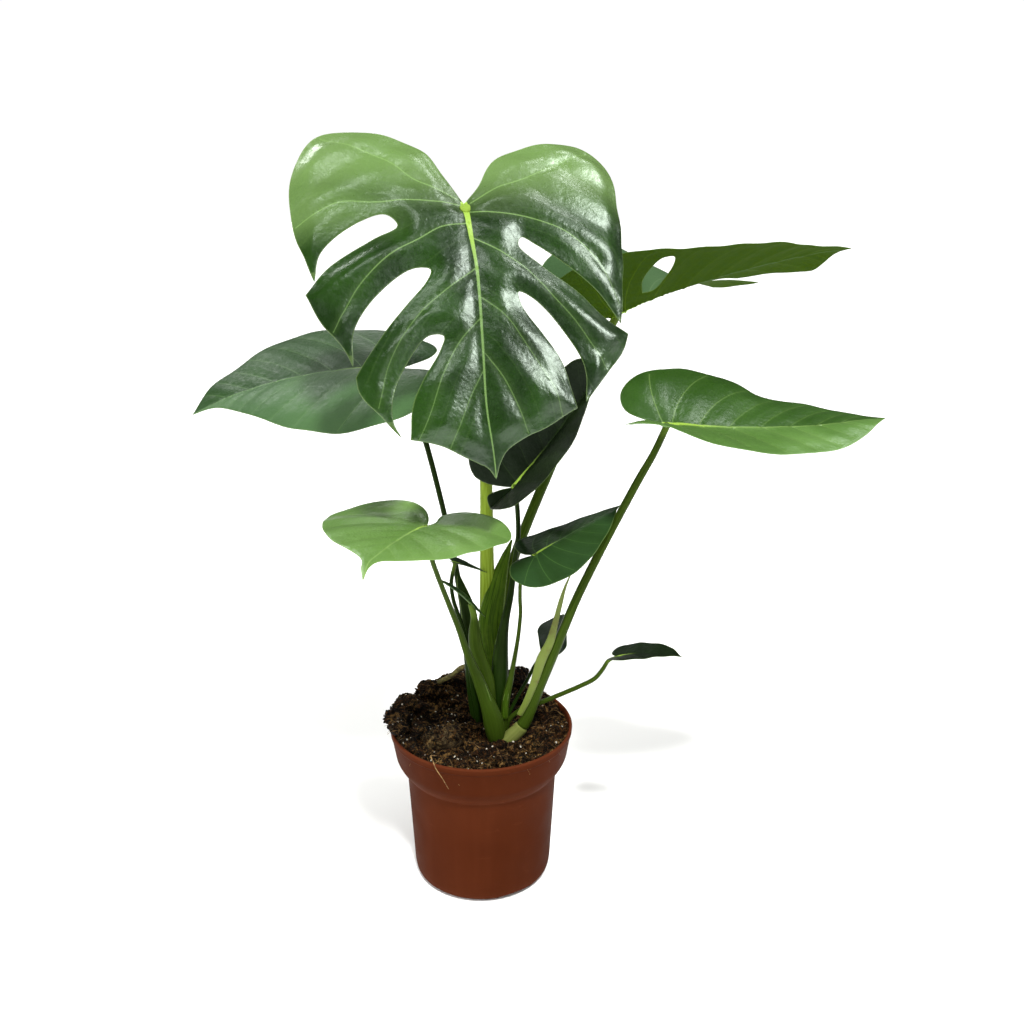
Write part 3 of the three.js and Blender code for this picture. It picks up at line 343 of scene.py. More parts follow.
# It ends where the stalk stands in it, a little narrower there than the solid.
KNUCKLE = [
  [13, -6, 106, 7, 6], [19, -10, 119, 6.8, 6], [26, -11, 127.5, 6.4, 5.6],
  [30.6, -10.6, 132, 6, 5.4], [32.8, -10.3, 134.6, 5.9, 5.5],
]

# Lumps that stand out of the soil; the dry ones are pale.
CLODS = [
  {"at": [-31, -26], "size": [16, 11, 10], "lift": 4, "turn": 25, "dry": 1},
  {"at": [20, -54], "size": [9, 7, 4], "lift": 1, "turn": 10},
  {"at": [46, -32], "size": [10, 8, 4], "lift": 0, "turn": 120},
  {"at": [40, 38], "size": [12, 10, 6], "lift": 1, "turn": 80},
  {"at": [30, 58], "size": [12, 9, 8], "lift": 3, "turn": 150},
  {"at": [6, 62], "size": [11, 8, 6], "lift": 2, "turn": 20},
  {"at": [-24, 56], "size": [13, 9, 6], "lift": 1, "turn": 15},
  {"at": [-45, 40], "size": [13, 11, 7], "lift": 2, "turn": 60},
  {"at": [-62, 18], "size": [12, 12, 6], "lift": 3, "turn": 100},
  {"at": [-70, 0], "size": [10, 10, 5], "lift": 5, "turn": 40},
  {"at": [-68, -15], "size": [9, 9, 5], "lift": 4, "turn": 5},
  {"at": [-50, -12], "size": [11, 9, 6], "lift": 1, "turn": 130},
]

# The pot: radii of its rim, collar, body, foot and heel, heights and wall thicknesses, and
# its drain notches, the first at an angle in degrees.
POT = {
    "height": 134, "rim": 75, "collar": 71.5, "collar_foot": 113, "shoulder": 95,
    "body": 62, "foot": 57.5, "heel": 9, "wall": 1.6, "floor": 3, "lip": 2.4,
    "notches": 3, "notch_width": 30, "notch_depth": 18, "notch_height": 4.8,
    "notch_round": 1.6, "first_notch": -60,
}
# The soil: its level, how it banks up to the wall and heaps up at the back and the left, its
# uneven face, how far it spills over the rim, the skirt and bottom that close it inside the
# pot, and how finely it is divided.
SOIL = {
    "level": 124.5, "bank": 4.5, "back_heap": 17, "left_heap": 7, "brim": 66, "relief": 1.1,
    "crumble": 2.3, "inside": 72.0, "spill": 2.6, "skirt": 68.5, "skirt_drop": 12.0, "bottom": 108,
    "rings": 99, "segments": 340,
}

# Grains strewn on the soil: the setting that counts them, their radius, a shift of the seed,
# how many shapes there are and how often each ball is split, how far and how finely noise
# pushes its points, where that noise starts, and the least and greatest scale.
GRAINS = {
    "soil_crumbs": {"count": "crumbs", "radius": 0.62, "seed": 0, "shapes": 3, "splits": 2,
                    "push": 1.1, "noise": 900, "first": 2.0, "sizes": (0.35, 1.7)},
    "soil_lumps": {"count": "lumps", "radius": 1.5, "seed": 10, "shapes": 4, "splits": 3,
                   "push": 3.4, "noise": 420, "first": 3.0, "sizes": (0.5, 1.7)},
    "perlite": {"count": "perlite", "radius": 0.75, "seed": 20, "shapes": 3, "splits": 3,
                "push": 1.2, "noise": 900, "first": 7.0, "sizes": (0.4, 1.4)},
}

# A loose fibre that hangs over the rim at the front left.
RIM_FIBRE = [
    [-33, -58, 136.5, 0.35, 0.35], [-36.5, -66.5, 141, 0.4, 0.4], [-34.5, -70.5, 139, 0.4, 0.4],
    [-32.8, -70.2, 133, 0.36, 0.36], [-27.8, -72.2, 125.6, 0.3, 0.3], [-23, -73.6, 117, 0.2, 0.2],
]

BLADE_THICKNESS = 0.8
# The share of a blade's length over which the lift near the stalk fades.
LIFT_REACH = 0.45
# The length from which a blade is quilted, pleated and grooved to the full depth.
FULL_RELIEF = 150

# The midrib of a blade that doesn't run straight, and side veins that are
# drawn rather than grown by rule, on the flat blade.
MIDRIBS = {
    "main_leaf": [(0, 0), (26, 2), (51, 4), (98, 4), (143, 4), (172, 7), (187, 8)],
    "back_right_leaf": [(0, 0), (60, 2), (120, 1), (188, -5)],
    "left_leaf": [(0, 0), (60, 0), (120, 0), (166, 2)],
    "right_leaf": [(0, 0), (50, 2), (110, 5), (160, 11)],
    "front_left_leaf": [(0, 0), (30, -1), (60, -3), (72, -4), (88, 1)],
    "middle_leaf": [(0, 0), (40, 3), (79, 6)],
    "small_right_leaf": [(0, 0), (30, -1), (52, -3)],
}
DRAWN_VEINS = {
    "main_leaf": [
        [(-3, -4), (-13, -30), (-30, -52), (-39, -69)],
        [(2, -2), (2, -31), (2, -61), (2, -83), (13, -106)],
        [(17, 1), (21, -17), (31, -33), (42, -52), (62, -72), (81, -84)],
        [(50, 3), (66, -18), (80, -34), (97, -47), (117, -57), (134, -62)],
        [(84, 4), (99, -10), (120, -22), (146, -32), (163, -40)],
        [(118, 4), (134, -5), (152, -13), (168, -20)],
        [(0, 4), (-10, 23), (-20, 48), (-35, 74)],
        [(8, 3), (10, 26), (14, 44), (23, 67), (41, 87), (70, 101)],
        [(28, 3), (37, 19), (50, 37), (71, 54), (88, 68), (107, 81)],
        [(70, 5), (83, 20), (99, 30), (114, 39), (130, 48), (150, 54)],
        [(108, 5), (124, 16), (142, 24), (160, 30)],
    ],
}
# A side vein by rule: where it leaves the midrib as a share of the blade's
# length, its angle there and how far it turns towards the tip, in degrees.
VEIN_RULE = [
    (0.0, 146, -30), (0.0, 112, -40), (0.04, 84, -42), (0.16, 68, -38), (0.30, 60, -34),
    (0.44, 53, -30), (0.57, 48, -26), (0.69, 44, -22), (0.80, 40, -18),
]

# ------------------------------------------------------------------ settings


def paint(text):
    """A colour written as six hex digits, as the linear red, green and blue of a socket."""
    parts = [int(text[k:k + 2], 16) / 255 for k in (0, 2, 4)]
    return tuple(c / 12.92 if c <= 0.04045 else ((c + 0.055) / 1.055) ** 2.4 for c in parts)


def colour(name, description, text):
    """A colour setting whose default is six hex digits."""
    return FloatVectorProperty(name=name, description=description, subtype="COLOR", size=3,
                               min=0, max=1, default=paint(text))


def length(name, description, default):
    """A length setting in metres."""
    return FloatProperty(name=name, description=description, subtype="DISTANCE", unit="LENGTH",
                         min=0, default=default)


class MonsteraLeafSettings(bpy.types.PropertyGroup):
    mesh_step: length("Mesh step", "Distance between the points of a leaf's mesh", 0.0024)
    vein_depth: length("Vein depth", "How far the side veins lie below the upper face", 0.0005)
    quilt: length("Quilting", "How far the blade rises between its side veins", 0.0018)
    wrinkle: length("Wrinkles", "Height of the fine unevenness of the blade", 0.00025)
    pleat: length("Pleats", "Height of the fine pleats between the side veins", 0.0002)
    rim_roll: length("Rolled rim", "How far the rim of the largest blade rolls back", 0.0032)
    rib: colour("Midrib", "Colour of the midrib near the stalk", "8fb040")
    edge: colour("Edge", "Colour of the thin rim of a blade", "9dbb6a")


class MonsteraStalkSettings(bpy.types.PropertyGroup):
    mesh_step: length("Mesh step", "Distance between the rings of a stalk's mesh", 0.002)
    margin: length("Sheath margin", "Half thickness of the pale margin of a sheath", 0.00042)
    green: colour("Stalk", "Colour of a stalk in the light", "263608")
    dark: colour("Dark stalk", "Colour of a stalk in the shade", "0d1b04")
    sheath: colour("Sheath", "Colour of the broad sheaths at the foot", "1f3205")
    pale: colour("Dry margin", "Colour of a dried sheath", "5f6e1b")


class MonsteraSoilSettings(bpy.types.PropertyGroup):
    dark: colour("Damp peat", "Colour of the soil in its hollows", "0a0502")
    light: colour("Dry peat", "Colour of the soil on its crumbs", "331f13")
    crumbs: IntProperty(name="Crumbs", description="Loose crumbs on each square metre",
                        default=420000, min=0)
    lumps: IntProperty(name="Lumps", description="Loose lumps on each square metre",
                       default=24000, min=0)
    perlite: IntProperty(name="Perlite", description="White grains on each square metre",
                         default=6500, min=0)
    fibres: IntProperty(name="Fibres", description="Loose fibres on each square metre",
                        default=12000, min=0)
    seed: IntProperty(name="Seed", description="Seed of what is strewn on the soil", default=7)


class MonsteraPotSettings(bpy.types.PropertyGroup):
    wall: colour("Pot", "Colour of the moulded plastic", "411c0c")
    dust: colour("Dust", "Colour of the worn and dusty edges", "673622")
    segments: IntProperty(name="Segments", description="Faces round the pot", default=144, min=24)


class MonsteraStageSettings(bpy.types.PropertyGroup):
    floor: colour("Floor", "Colour of the studio floor", "f4f4f2")
    light: FloatProperty(name="Light", description="Strength of the softboxes", default=1.0, min=0)
    backdrop: FloatProperty(name="Backdrop", description="Brightness of the room near the floor",
                            default=1.02, min=0)
    ceiling: FloatProperty(name="Ceiling", description="Brightness of the room overhead",
                           default=0.15, min=0)
    mirrored: FloatProperty(name="Mirrored", description="Share of the room that gloss shows",
                            default=0.05, min=0)


# ------------------------------------------------------------------ curves and tubes


def spline(rows, at):
    """Smooth rows at the places in at, which runs from 0 to 1 evenly over the rows. The first
    three columns set the pace, or the first two where the rows are flat."""
    rows = np.asarray(rows, float)
    ends = np.vstack([2 * rows[0] - rows[1], rows, 2 * rows[-1] - rows[-2]])
    place = np.asarray(at, float) * (len(rows) - 1)
    leg = np.clip(place.astype(int), 0, len(rows) - 2)
    t = (place - leg)[:, None]
    p0, p1, p2, p3 = (ends[leg + k] for k in range(4))
    d0, d1, d2 = (np.maximum(np.linalg.norm((b - a)[:, :3], axis=1)[:, None] ** 0.5, 1e-4)
                  for a, b in ((p0, p1), (p1, p2), (p2, p3)))
    t1 = d1 * ((p1 - p0) / d0 - (p2 - p0) / (d0 + d1) + (p2 - p1) / d1)
    t2 = d1 * ((p2 - p1) / d1 - (p3 - p1) / (d1 + d2) + (p3 - p2) / d2)
    return (p1 + t1 * t + (3 * (p2 - p1) - 2 * t1 - t2) * t ** 2
            + (2 * (p1 - p2) + t1 + t2) * t ** 3)


def evenly(points, step, closed=False):
    """Points at even distances along a line, its ends kept."""
    points = np.asarray(points, float)
    if closed:
        points = np.vstack([points, points[:1]])
    reach = np.concatenate([[0], np.cumsum(np.linalg.norm(np.diff(points, axis=0), axis=1))])
    count = max(1, round(reach[-1] / step))
    at = np.linspace(0, reach[-1], count + 1)
    line = np.stack([np.interp(at, reach, column) for column in points.T], 1)
    return line[:-1] if closed else line


def smooth_line(rows, step):
    """Points at even distances along the smooth curve through rows."""
    return evenly(spline(rows, np.linspace(0, 1, 24 * (len(rows) - 1) + 1)), step)


def smoothstep(value, low, high):
    """0 at low, 1 at high, and a smooth rise between them."""
    t = np.clip((value - low) / (high - low), 0, 1)
    return t * t * (3 - 2 * t)


class Shell:
    """Faces and points gathered for one piece, with the numbers its finish reads."""

    def __init__(self):
        self.points, self.faces, self.slots, self.numbers, self.count = [], [], [], {}, 0

    def add(self, points, faces, slot=0, **numbers):
        """Adds points and faces, with a number or a vector of each name for each point."""
        points = np.asarray(points, float)
        for name in set(self.numbers) - set(numbers):
            numbers[name] = np.zeros(len(points))
        for name, values in numbers.items():
            values = np.asarray(values, float)
            values = np.broadcast_to(values, (len(points), *values.shape[1:]))
            if name not in self.numbers:
                before = np.zeros((self.count, *values.shape[1:]))
                self.numbers[name] = [before] if self.count else []
            self.numbers[name].append(values)
        self.faces += [tuple(int(i) + self.count for i in face) for face in faces]
        self.slots += [slot] * len(faces)
        self.points.append(points)
        self.count += len(points)

    def add_tube(self, rows, *form, slot=0):
        """Adds a closed tube through rows."""
        points, faces, skin = tube(rows, *form)
        self.add(points, faces, slot, skin=skin)

    def piece(self, name, finishes):
        """The finished object, in metres, smooth, with one slot for each finish."""
        mesh = bpy.data.meshes.new(name)
        mesh.from_pydata((np.vstack(self.points) * MM).tolist(), [], self.faces)
        for finish in finishes:
            mesh.materials.append(finish)
        mesh.polygons.foreach_set("material_index", self.slots)
        mesh.polygons.foreach_set("use_smooth", [True] * len(self.faces))
        for title, values in self.numbers.items():
            values = np.concatenate(values)
            kind, field = ("FLOAT", "value") if values.ndim == 1 else ("FLOAT_VECTOR", "vector")
            mesh.attributes.new(title, kind, "POINT").data.foreach_set(
                field, values.astype(np.float32).ravel())
        mesh.update()
        piece = bpy.data.objects.new(name, mesh)
        bpy.context.scene.collection.objects.link(piece)
        return piece


# How far along the round end of a tube its rings lie.
CAP_TURNS = (0.35, 0.7, 0.93)


def tube(rows, step, sides=20, ends=(0.5, 0.5), groove=0.0):
    """Points, faces and skin coordinates of a closed tube through rows of
    [x, y, z, half width, half depth]. ends says how far each end bulges, in half widths, and
    groove presses a channel into the side that faces the viewer."""
    dense = np.linspace(0, 1, 40 * (len(rows) - 1) + 1)
    line = spline(rows, dense)
    run = np.concatenate([[0], np.cumsum(np.linalg.norm(np.diff(line[:, :3], axis=0), axis=1))])
    count = max(4, round(run[-1] / step))
    at = np.interp(np.linspace(0, run[-1], count + 1), run, dense)
    line = spline(rows, at)
    ahead, behind = (spline(rows, np.clip(at + way * 1e-4, 0, 1)) for way in (1, -1))
    along = (ahead - behind)[:, :3]
    along /= np.linalg.norm(along, axis=1)[:, None]
    caps = []
    for end, way, share in ((0, -1, ends[0]), (-1, 1, ends[1])):
        rings = []
        for turn in CAP_TURNS:
            ring = line[end].copy()
            ring[:3] += way * along[end] * share * ring[3] * turn
            ring[3:] *= math.sqrt(1 - turn ** 2)
            rings.append(ring)
        caps.append(rings)
    line = np.vstack([caps[0][::-1], line, caps[1]])
    along = np.vstack([[along[0]] * len(CAP_TURNS), along, [along[-1]] * len(CAP_TURNS)])
    side = np.stack([along[:, 2], np.zeros(len(along)), -along[:, 0]], 1)
    side /= np.linalg.norm(side, axis=1)[:, None]
    depth = np.cross(along, side)
    turn = 2 * np.pi * np.arange(sides) / sides
    off_front = np.arctan2(np.sin(turn + np.pi / 2), np.cos(turn + np.pi / 2))
    press = 1 - groove * np.exp(-(off_front / 0.5) ** 2)
    wide = line[:, 3, None] * np.cos(turn) * press
    deep = line[:, 4, None] * np.sin(turn) * press
    points = line[:, None, :3] + side[:, None] * wide[..., None] + depth[:, None] * deep[..., None]
    far = np.concatenate([[0], np.cumsum(np.linalg.norm(np.diff(line[:, :3], axis=0), axis=1))])
    skin = np.stack([np.broadcast_to(part, wide.shape)
                     for part in (np.cos(turn), np.sin(turn), far[:, None])], 2)
    rings = len(line)
    faces = [(i * sides + k, i * sides + (k + 1) % sides, (i + 1) * sides + (k + 1) % sides,
              (i + 1) * sides + k) for i in range(rings - 1) for k in range(sides)]
    faces += [tuple(range(sides))[::-1], tuple((rings - 1) * sides + k for k in range(sides))]
    return points.reshape(-1, 3), faces, skin.reshape(-1, 3)


# ------------------------------------------------------------------ blades


def blade_frame(leaf):
    """The place and the three directions of a blade at its stalk."""
    heading, pitch, roll = (math.radians(leaf[key]) for key in ("heading", "pitch", "roll"))
    x = np.array([math.cos(heading) * math.cos(pitch), math.sin(heading) * math.cos(pitch),
                  math.sin(pitch)])
    level = np.array([-math.sin(heading), math.cos(heading), 0])
    y = level * math.cos(roll) + np.cross(x, level) * math.sin(roll)
    return np.array(leaf["at"], float), x, y, np.cross(x, y)


def bend_blade(leaf, flat):
    """Where the flat points of a blade lie once it is bent. It repeats the part's own rule."""
    x, y = np.asarray(flat, float).T[:2]
    size = leaf["length"]
    reach = x / size
    bend = np.where(x >= 0, -math.radians(leaf["arch"]) / size,
                    math.radians(leaf["back_droop"]) / (0.28 * size))
    bend = np.where(np.abs(bend) < 1e-9, 1e-9, bend)
    turn = bend * x
    spine_x, spine_z = np.sin(turn) / bend, (1 - np.cos(turn)) / bend
    half = np.where(y >= 0, 0, 1)
    near = np.clip(reach, -0.3, 1)
    lift = np.take(leaf.get("lift", [0, 0]), half) * (1 - smoothstep(reach, 0, LIFT_REACH))
    fold = np.radians(np.take(leaf["fold"], half) + np.take(leaf["fold_turn"], half) * near + lift)
    curl = np.maximum(np.radians(np.take(leaf["curl"], half)) / leaf["half_width"], 1e-9)
    out = np.abs(y)
    across = (np.sin(fold) - np.sin(fold - curl * out)) / curl
    rise = (np.cos(fold - curl * out) - np.cos(fold)) / curl
    waves = leaf["waves"]
    spread = np.minimum(1, out / (0.4 * leaf["half_width"]))
    rise = rise - waves["height"] * spread * np.cos(
        2 * np.pi * waves["count"] * (x - 0.5 * out) / size)
    across = across * np.sign(y)
    twist = math.radians(leaf["twist"]) * near
    section_y = across * np.cos(twist) - rise * np.sin(twist)
    section_z = across * np.sin(twist) + rise * np.cos(twist)
    local = np.stack([spine_x - np.sin(turn) * section_z, section_y,
                      spine_z + np.cos(turn) * section_z], 1)
    origin, *axes = blade_frame(leaf)
    return origin + local @ np.array(axes)


def blade_normals(leaf, flat):
    """The directions that face up out of a bent blade at its flat points."""
    flat = np.asarray(flat, float)[:, :2]
    steps = np.array([(0.5, 0), (0, 0.5)])
    along, across = (bend_blade(leaf, flat + step) - bend_blade(leaf, flat - step)
                     for step in steps)
    normal = np.cross(along, across)
    return normal / np.linalg.norm(normal, axis=1)[:, None]


def within(points, loop):
    """Which flat points lie inside a closed loop."""
    x, y = points[:, 0, None], points[:, 1, None]
    (xi, yi), (xj, yj) = loop.T, np.roll(loop, 1, axis=0).T
    with np.errstate(divide="ignore", invalid="ignore"):
        crossed = ((yi > y) != (yj > y)) & (x < (xj - xi) * (y - yi) / (yj - yi) + xi)
    return crossed.sum(1) % 2 == 1


def distance(points, line, closed=False):
    """How far flat points are from a line, and where on it the nearest place is, from 0 to 1."""
    a = line if closed else line[:-1]
    b = np.roll(line, -1, axis=0) if closed else line[1:]
    leg = b - a
    best = np.full(len(points), np.inf)
    place = np.zeros(len(points))
    for start in range(0, len(points), 4000):
        some = points[start:start + 4000, None]
        t = np.clip(((some - a) * leg).sum(2) / np.maximum((leg ** 2).sum(1), 1e-12), 0, 1)
        gap = np.linalg.norm(some - a - t[..., None] * leg, axis=2)
        near = gap.argmin(1)
        rows = np.arange(len(near))
        best[start:start + 4000] = gap[rows, near]
        place[start:start + 4000] = (near + t[rows, near]) / len(leg)
    return best, place


def blade_outline(leaf, step):
    """The flat edge of a blade and that of its hole, if it has one."""
    loop = np.vstack([smooth_line(stroke, step)[:-1] for stroke in leaf["outline"]])
    if "hole" not in leaf:
        return loop, None
    hole = smooth_line([*leaf["hole"], leaf["hole"][0]], step)[:-1]
    return loop, evenly(hole, step, True)


def side_veins(name, leaf, loop, hole, rib):
    """Side veins of a blade on both sides, each from the midrib nearly to the edge."""
    pace, most, rim = 2.0, 120, 1.6
    small, left_out, fewest = 60, (0.04, 0.30, 0.57, 0.80), 5

    def grow(start, angle, turn):
        line = [np.array(start, float)]
        for _ in range(most):
            line.append(line[-1] + pace * np.array([math.cos(angle), math.sin(angle)]))
            angle += turn * pace
            probe = np.array([line[-1]])
            if not within(probe, loop)[0] or (hole is not None and within(probe, hole)[0]):
                break
            if distance(probe, loop, True)[0][0] < rim:
                break
        return np.array(line[:-1])

    sides = {1: [], -1: []}
    if name in DRAWN_VEINS:
        for route in DRAWN_VEINS[name]:
            line = smooth_line(route, pace)
            angle = math.atan2(*(line[-1] - line[-3])[::-1])
            line = np.vstack([line[:-1], grow(line[-1], angle, 0)])
            sides[1 if route[-1][1] > 0 else -1].append(line)
        return sides
    for side in sides:
        for share, angle, turn in VEIN_RULE:
            if leaf["length"] < small and share in left_out:
                continue
            span = 1.15 * leaf["half_width"]
            x = share * leaf["length"] + (3 if side < 0 else 0)
            start = (x, np.interp(x, rib[:, 0], rib[:, 1]) + 0.3 * side)
            line = grow(start, side * math.radians(angle), side * math.radians(turn) / span)
            if len(line) >= fewest:
                sides[side].append(line)
    return sides


def blade_sheet(name, leaf, step):
    """The flat mesh of a blade, with how far each point is from its veins and its edge."""
    size = leaf["length"]
    edge_step, edge_room, line_room = 0.6 * step, 0.55 * step, 0.5 * step
    loop, hole = blade_outline(leaf, edge_step)
    rib = smooth_line(MIDRIBS.get(name, [(0, 0), (0.5 * size, 0), (size - 1, 0)]), step)
    rib = rib[within(rib, loop)]
    sides = side_veins(name, leaf, loop, hole, rib)
    veins = sides[1] + sides[-1]
    fixed = [rib, *veins]

    # An even grid of points, clear of the edge and of the veins.
    rows = step * math.sqrt(3) / 2
    low, high = loop.min(0), loop.max(0)
    grid = np.array([(low[0] + row * rows, low[1] + (column + (row & 1) / 2) * step)
                     for row in range(int((high[0] - low[0]) / rows) + 1)
                     for column in range(int((high[1] - low[1]) / step) + 1)])
    grid = grid[within(grid, loop)]
    grid = grid[distance(grid, loop, True)[0] > edge_room]
    if hole is not None:
        grid = grid[~within(grid, hole)]
        grid = grid[distance(grid, hole, True)[0] > edge_room]
    for line in fixed:
        grid = grid[distance(grid, line)[0] > line_room]

    # Edge, midrib and veins are lines that the faces keep to.
    points, edges = [], []
    loops = [loop] if hole is None else [loop, hole]
    for number, line in enumerate([*loops, *fixed]):
        first, count = len(points), len(line)
        legs = count if number < len(loops) else count - 1
        points += [Vector(p) for p in line]
        edges += [(first + k, first + (k + 1) % count) for k in range(legs)]
    points += [Vector(p) for p in grid]
    made = geometry.delaunay_2d_cdt(points, edges, [], 0, 1e-4, False)
    flat = np.array([tuple(p) for p in made[0]])
    faces = np.array(made[2])
    # Faces beyond the edge go, and the others are turned face up.
    centre = flat[faces].mean(1)
    keep = within(centre, loop)
    if hole is not None:
        keep &= ~within(centre, hole)
    faces = faces[keep]
    corners = flat[faces]
    a, b = corners[:, 1] - corners[:, 0], corners[:, 2] - corners[:, 0]
    area = a[:, 0] * b[:, 1] - a[:, 1] * b[:, 0]
    faces = np.where((area < 0)[:, None], faces[:, ::-1], faces)[np.abs(area) > 1e-6]
    used = np.unique(faces)
    renumber = np.zeros(len(flat), int)
    renumber[used] = np.arange(len(used))
    flat, faces = flat[used], renumber[faces]

    rib_gap, rib_place = distance(flat, rib)
    rib_half = np.interp(rib_place, [0, 0.22, 1], [0.35 + 0.0085 * size, 0.16 + 0.0032 * size, 0.1])
    off_rib = flat[:, 1] - np.interp(flat[:, 0], rib[:, 0], rib[:, 1])
    # A lane runs from one side vein, at a whole number, to the next.
    far, widest_lane = 1e3, 60
    vein_gap = np.full(len(flat), 9.0)
    lane = np.zeros(len(flat))
    for side, lines in sides.items():
        if not lines:
            continue
        gaps, places = np.array([distance(flat, line) for line in lines]).transpose(1, 0, 2)
        mine = off_rib * side >= 0
        first, last = gaps.argmin(0), len(lines) - 1
        index = np.arange(len(flat))
        near = gaps[first, index]
        width = (0.02 + 0.001 * size) * (1 - 0.9 * places[first, index])
        lower = np.where(first > 0, gaps[np.maximum(first - 1, 0), index], far)
        upper = np.where(first < last, gaps[np.minimum(first + 1, last), index], far)
        towards = np.where(lower < upper, -1, 1)
        other = np.minimum(np.minimum(lower, upper), widest_lane)
        lane = np.where(mine, first + towards * near / np.maximum(near + other, 1e-6), lane)
        vein_gap = np.where(mine, np.minimum(vein_gap, near - width), vein_gap)
    half = np.clip(off_rib / 2, -1, 1)
    edge_gap = distance(flat, loop, True)[0]
    if hole is not None:
        edge_gap = np.minimum(edge_gap, distance(flat, hole, True)[0])
    return flat, faces, {"rib": rib_gap - rib_half, "vein": vein_gap, "edge": edge_gap,
                         "lane": lane, "reach": flat[:, 0] / size, "half": half}


def uneven(points, size, seed=0.0, octaves=3):
    """Fractal noise from about -1 to 1 at points in millimetres, with features of that size."""
    return np.array([noise.fractal(Vector(p) / size + Vector((seed, 0, 0)), 1.0, 2.0, octaves)
                     for p in points])


def blade_shell(name, leaf, settings):
    """A blade as one closed sheet: upper face, underside and a rounded rim."""
    flat, faces, numbers = blade_sheet(name, leaf, settings.mesh_step / MM)
    size = leaf["length"]
    scale = min(1.0, size / FULL_RELIEF)
    quilt, pleat, wrinkle, rim_roll, groove = (depth / MM * scale for depth in (
        settings.quilt, settings.pleat, settings.wrinkle, settings.rim_roll, settings.vein_depth))
    centre, normal = bend_blade(leaf, flat), blade_normals(leaf, flat)
    rib, vein, edge = (np.maximum(numbers[key], 0) for key in ("rib", "vein", "edge"))
    reach = flat[:, 0] / size
    at_vein = np.exp(-(vein / 1.1) ** 2)
    at_rib = np.exp(-(rib / 1.3) ** 2)
    inner = smoothstep(edge, 0, 11)
    puffs = quilt * (1 - np.exp(-(np.minimum(vein, rib) / 9) ** 2))
    pleats = pleat * np.cos(4 * np.pi * numbers["lane"]) * smoothstep(vein, 0, 8)
    crease = uneven(centre, 16, size) + 0.35 * uneven(centre, 5, size + 3, 2)
    rolled = rim_roll * leaf.get("roll_back", 0.3) * (1 - smoothstep(edge, 0, 15))
    lie = (leaf.get("quilting", 0.4) * (puffs + pleats) * inner
           + wrinkle * crease * (0.3 + 0.7 * inner) - rolled)
    half = BLADE_THICKNESS / 2 * (0.45 + 0.4 * smoothstep(edge, 0, 3))
    ridge = (0.2 + 0.006 * size) * (1 - 0.8 * np.clip(reach, 0, 1))
    raised = 0.25 * ridge * smoothstep(reach, 0.5, 0) - 0.2
    upper = centre + normal * (lie + half - groove * at_vein + raised * at_rib)[:, None]
    under = centre + normal * (lie - half - 1.1 * groove * at_vein - ridge * at_rib)[:, None]

    # The rim joins both faces by way of a line a little further out.
    faces = faces.tolist()
    seen = dict.fromkeys((face[k], face[(k + 1) % 3]) for face in faces for k in range(3))
    rim = [(a, b) for a, b in seen if (b, a) not in seen]
    border = sorted({vertex for pair in rim for vertex in pair})
    place = {vertex: 2 * len(flat) + k for k, vertex in enumerate(border)}
    outward = np.zeros((len(flat), 3))
    for a, b in rim:
        push = np.cross(centre[b] - centre[a], normal[a])
        push /= max(np.linalg.norm(push), 1e-9)
        outward[a] += push
        outward[b] += push
    outward /= np.maximum(np.linalg.norm(outward, axis=1), 1e-9)[:, None]
    middle = ((upper + under) / 2 + 0.22 * outward)[border]

    count = len(flat)
    listed = [tuple(face) for face in faces]
    listed += [(a + count, c + count, b + count) for a, b, c in faces]
    for a, b in rim:
        listed.append((b, a, place[a], place[b]))
        listed.append((place[b], place[a], a + count, b + count))
    both = {key: np.concatenate([values, values, values[border]])
            for key, values in numbers.items()}
    below = np.concatenate([np.zeros(count), np.ones(count), np.full(len(border), 0.5)])
    shell = Shell()
    shell.add(np.vstack([upper, under, middle]), listed, under=below, **both)
    return shell


# ------------------------------------------------------------------ finishes


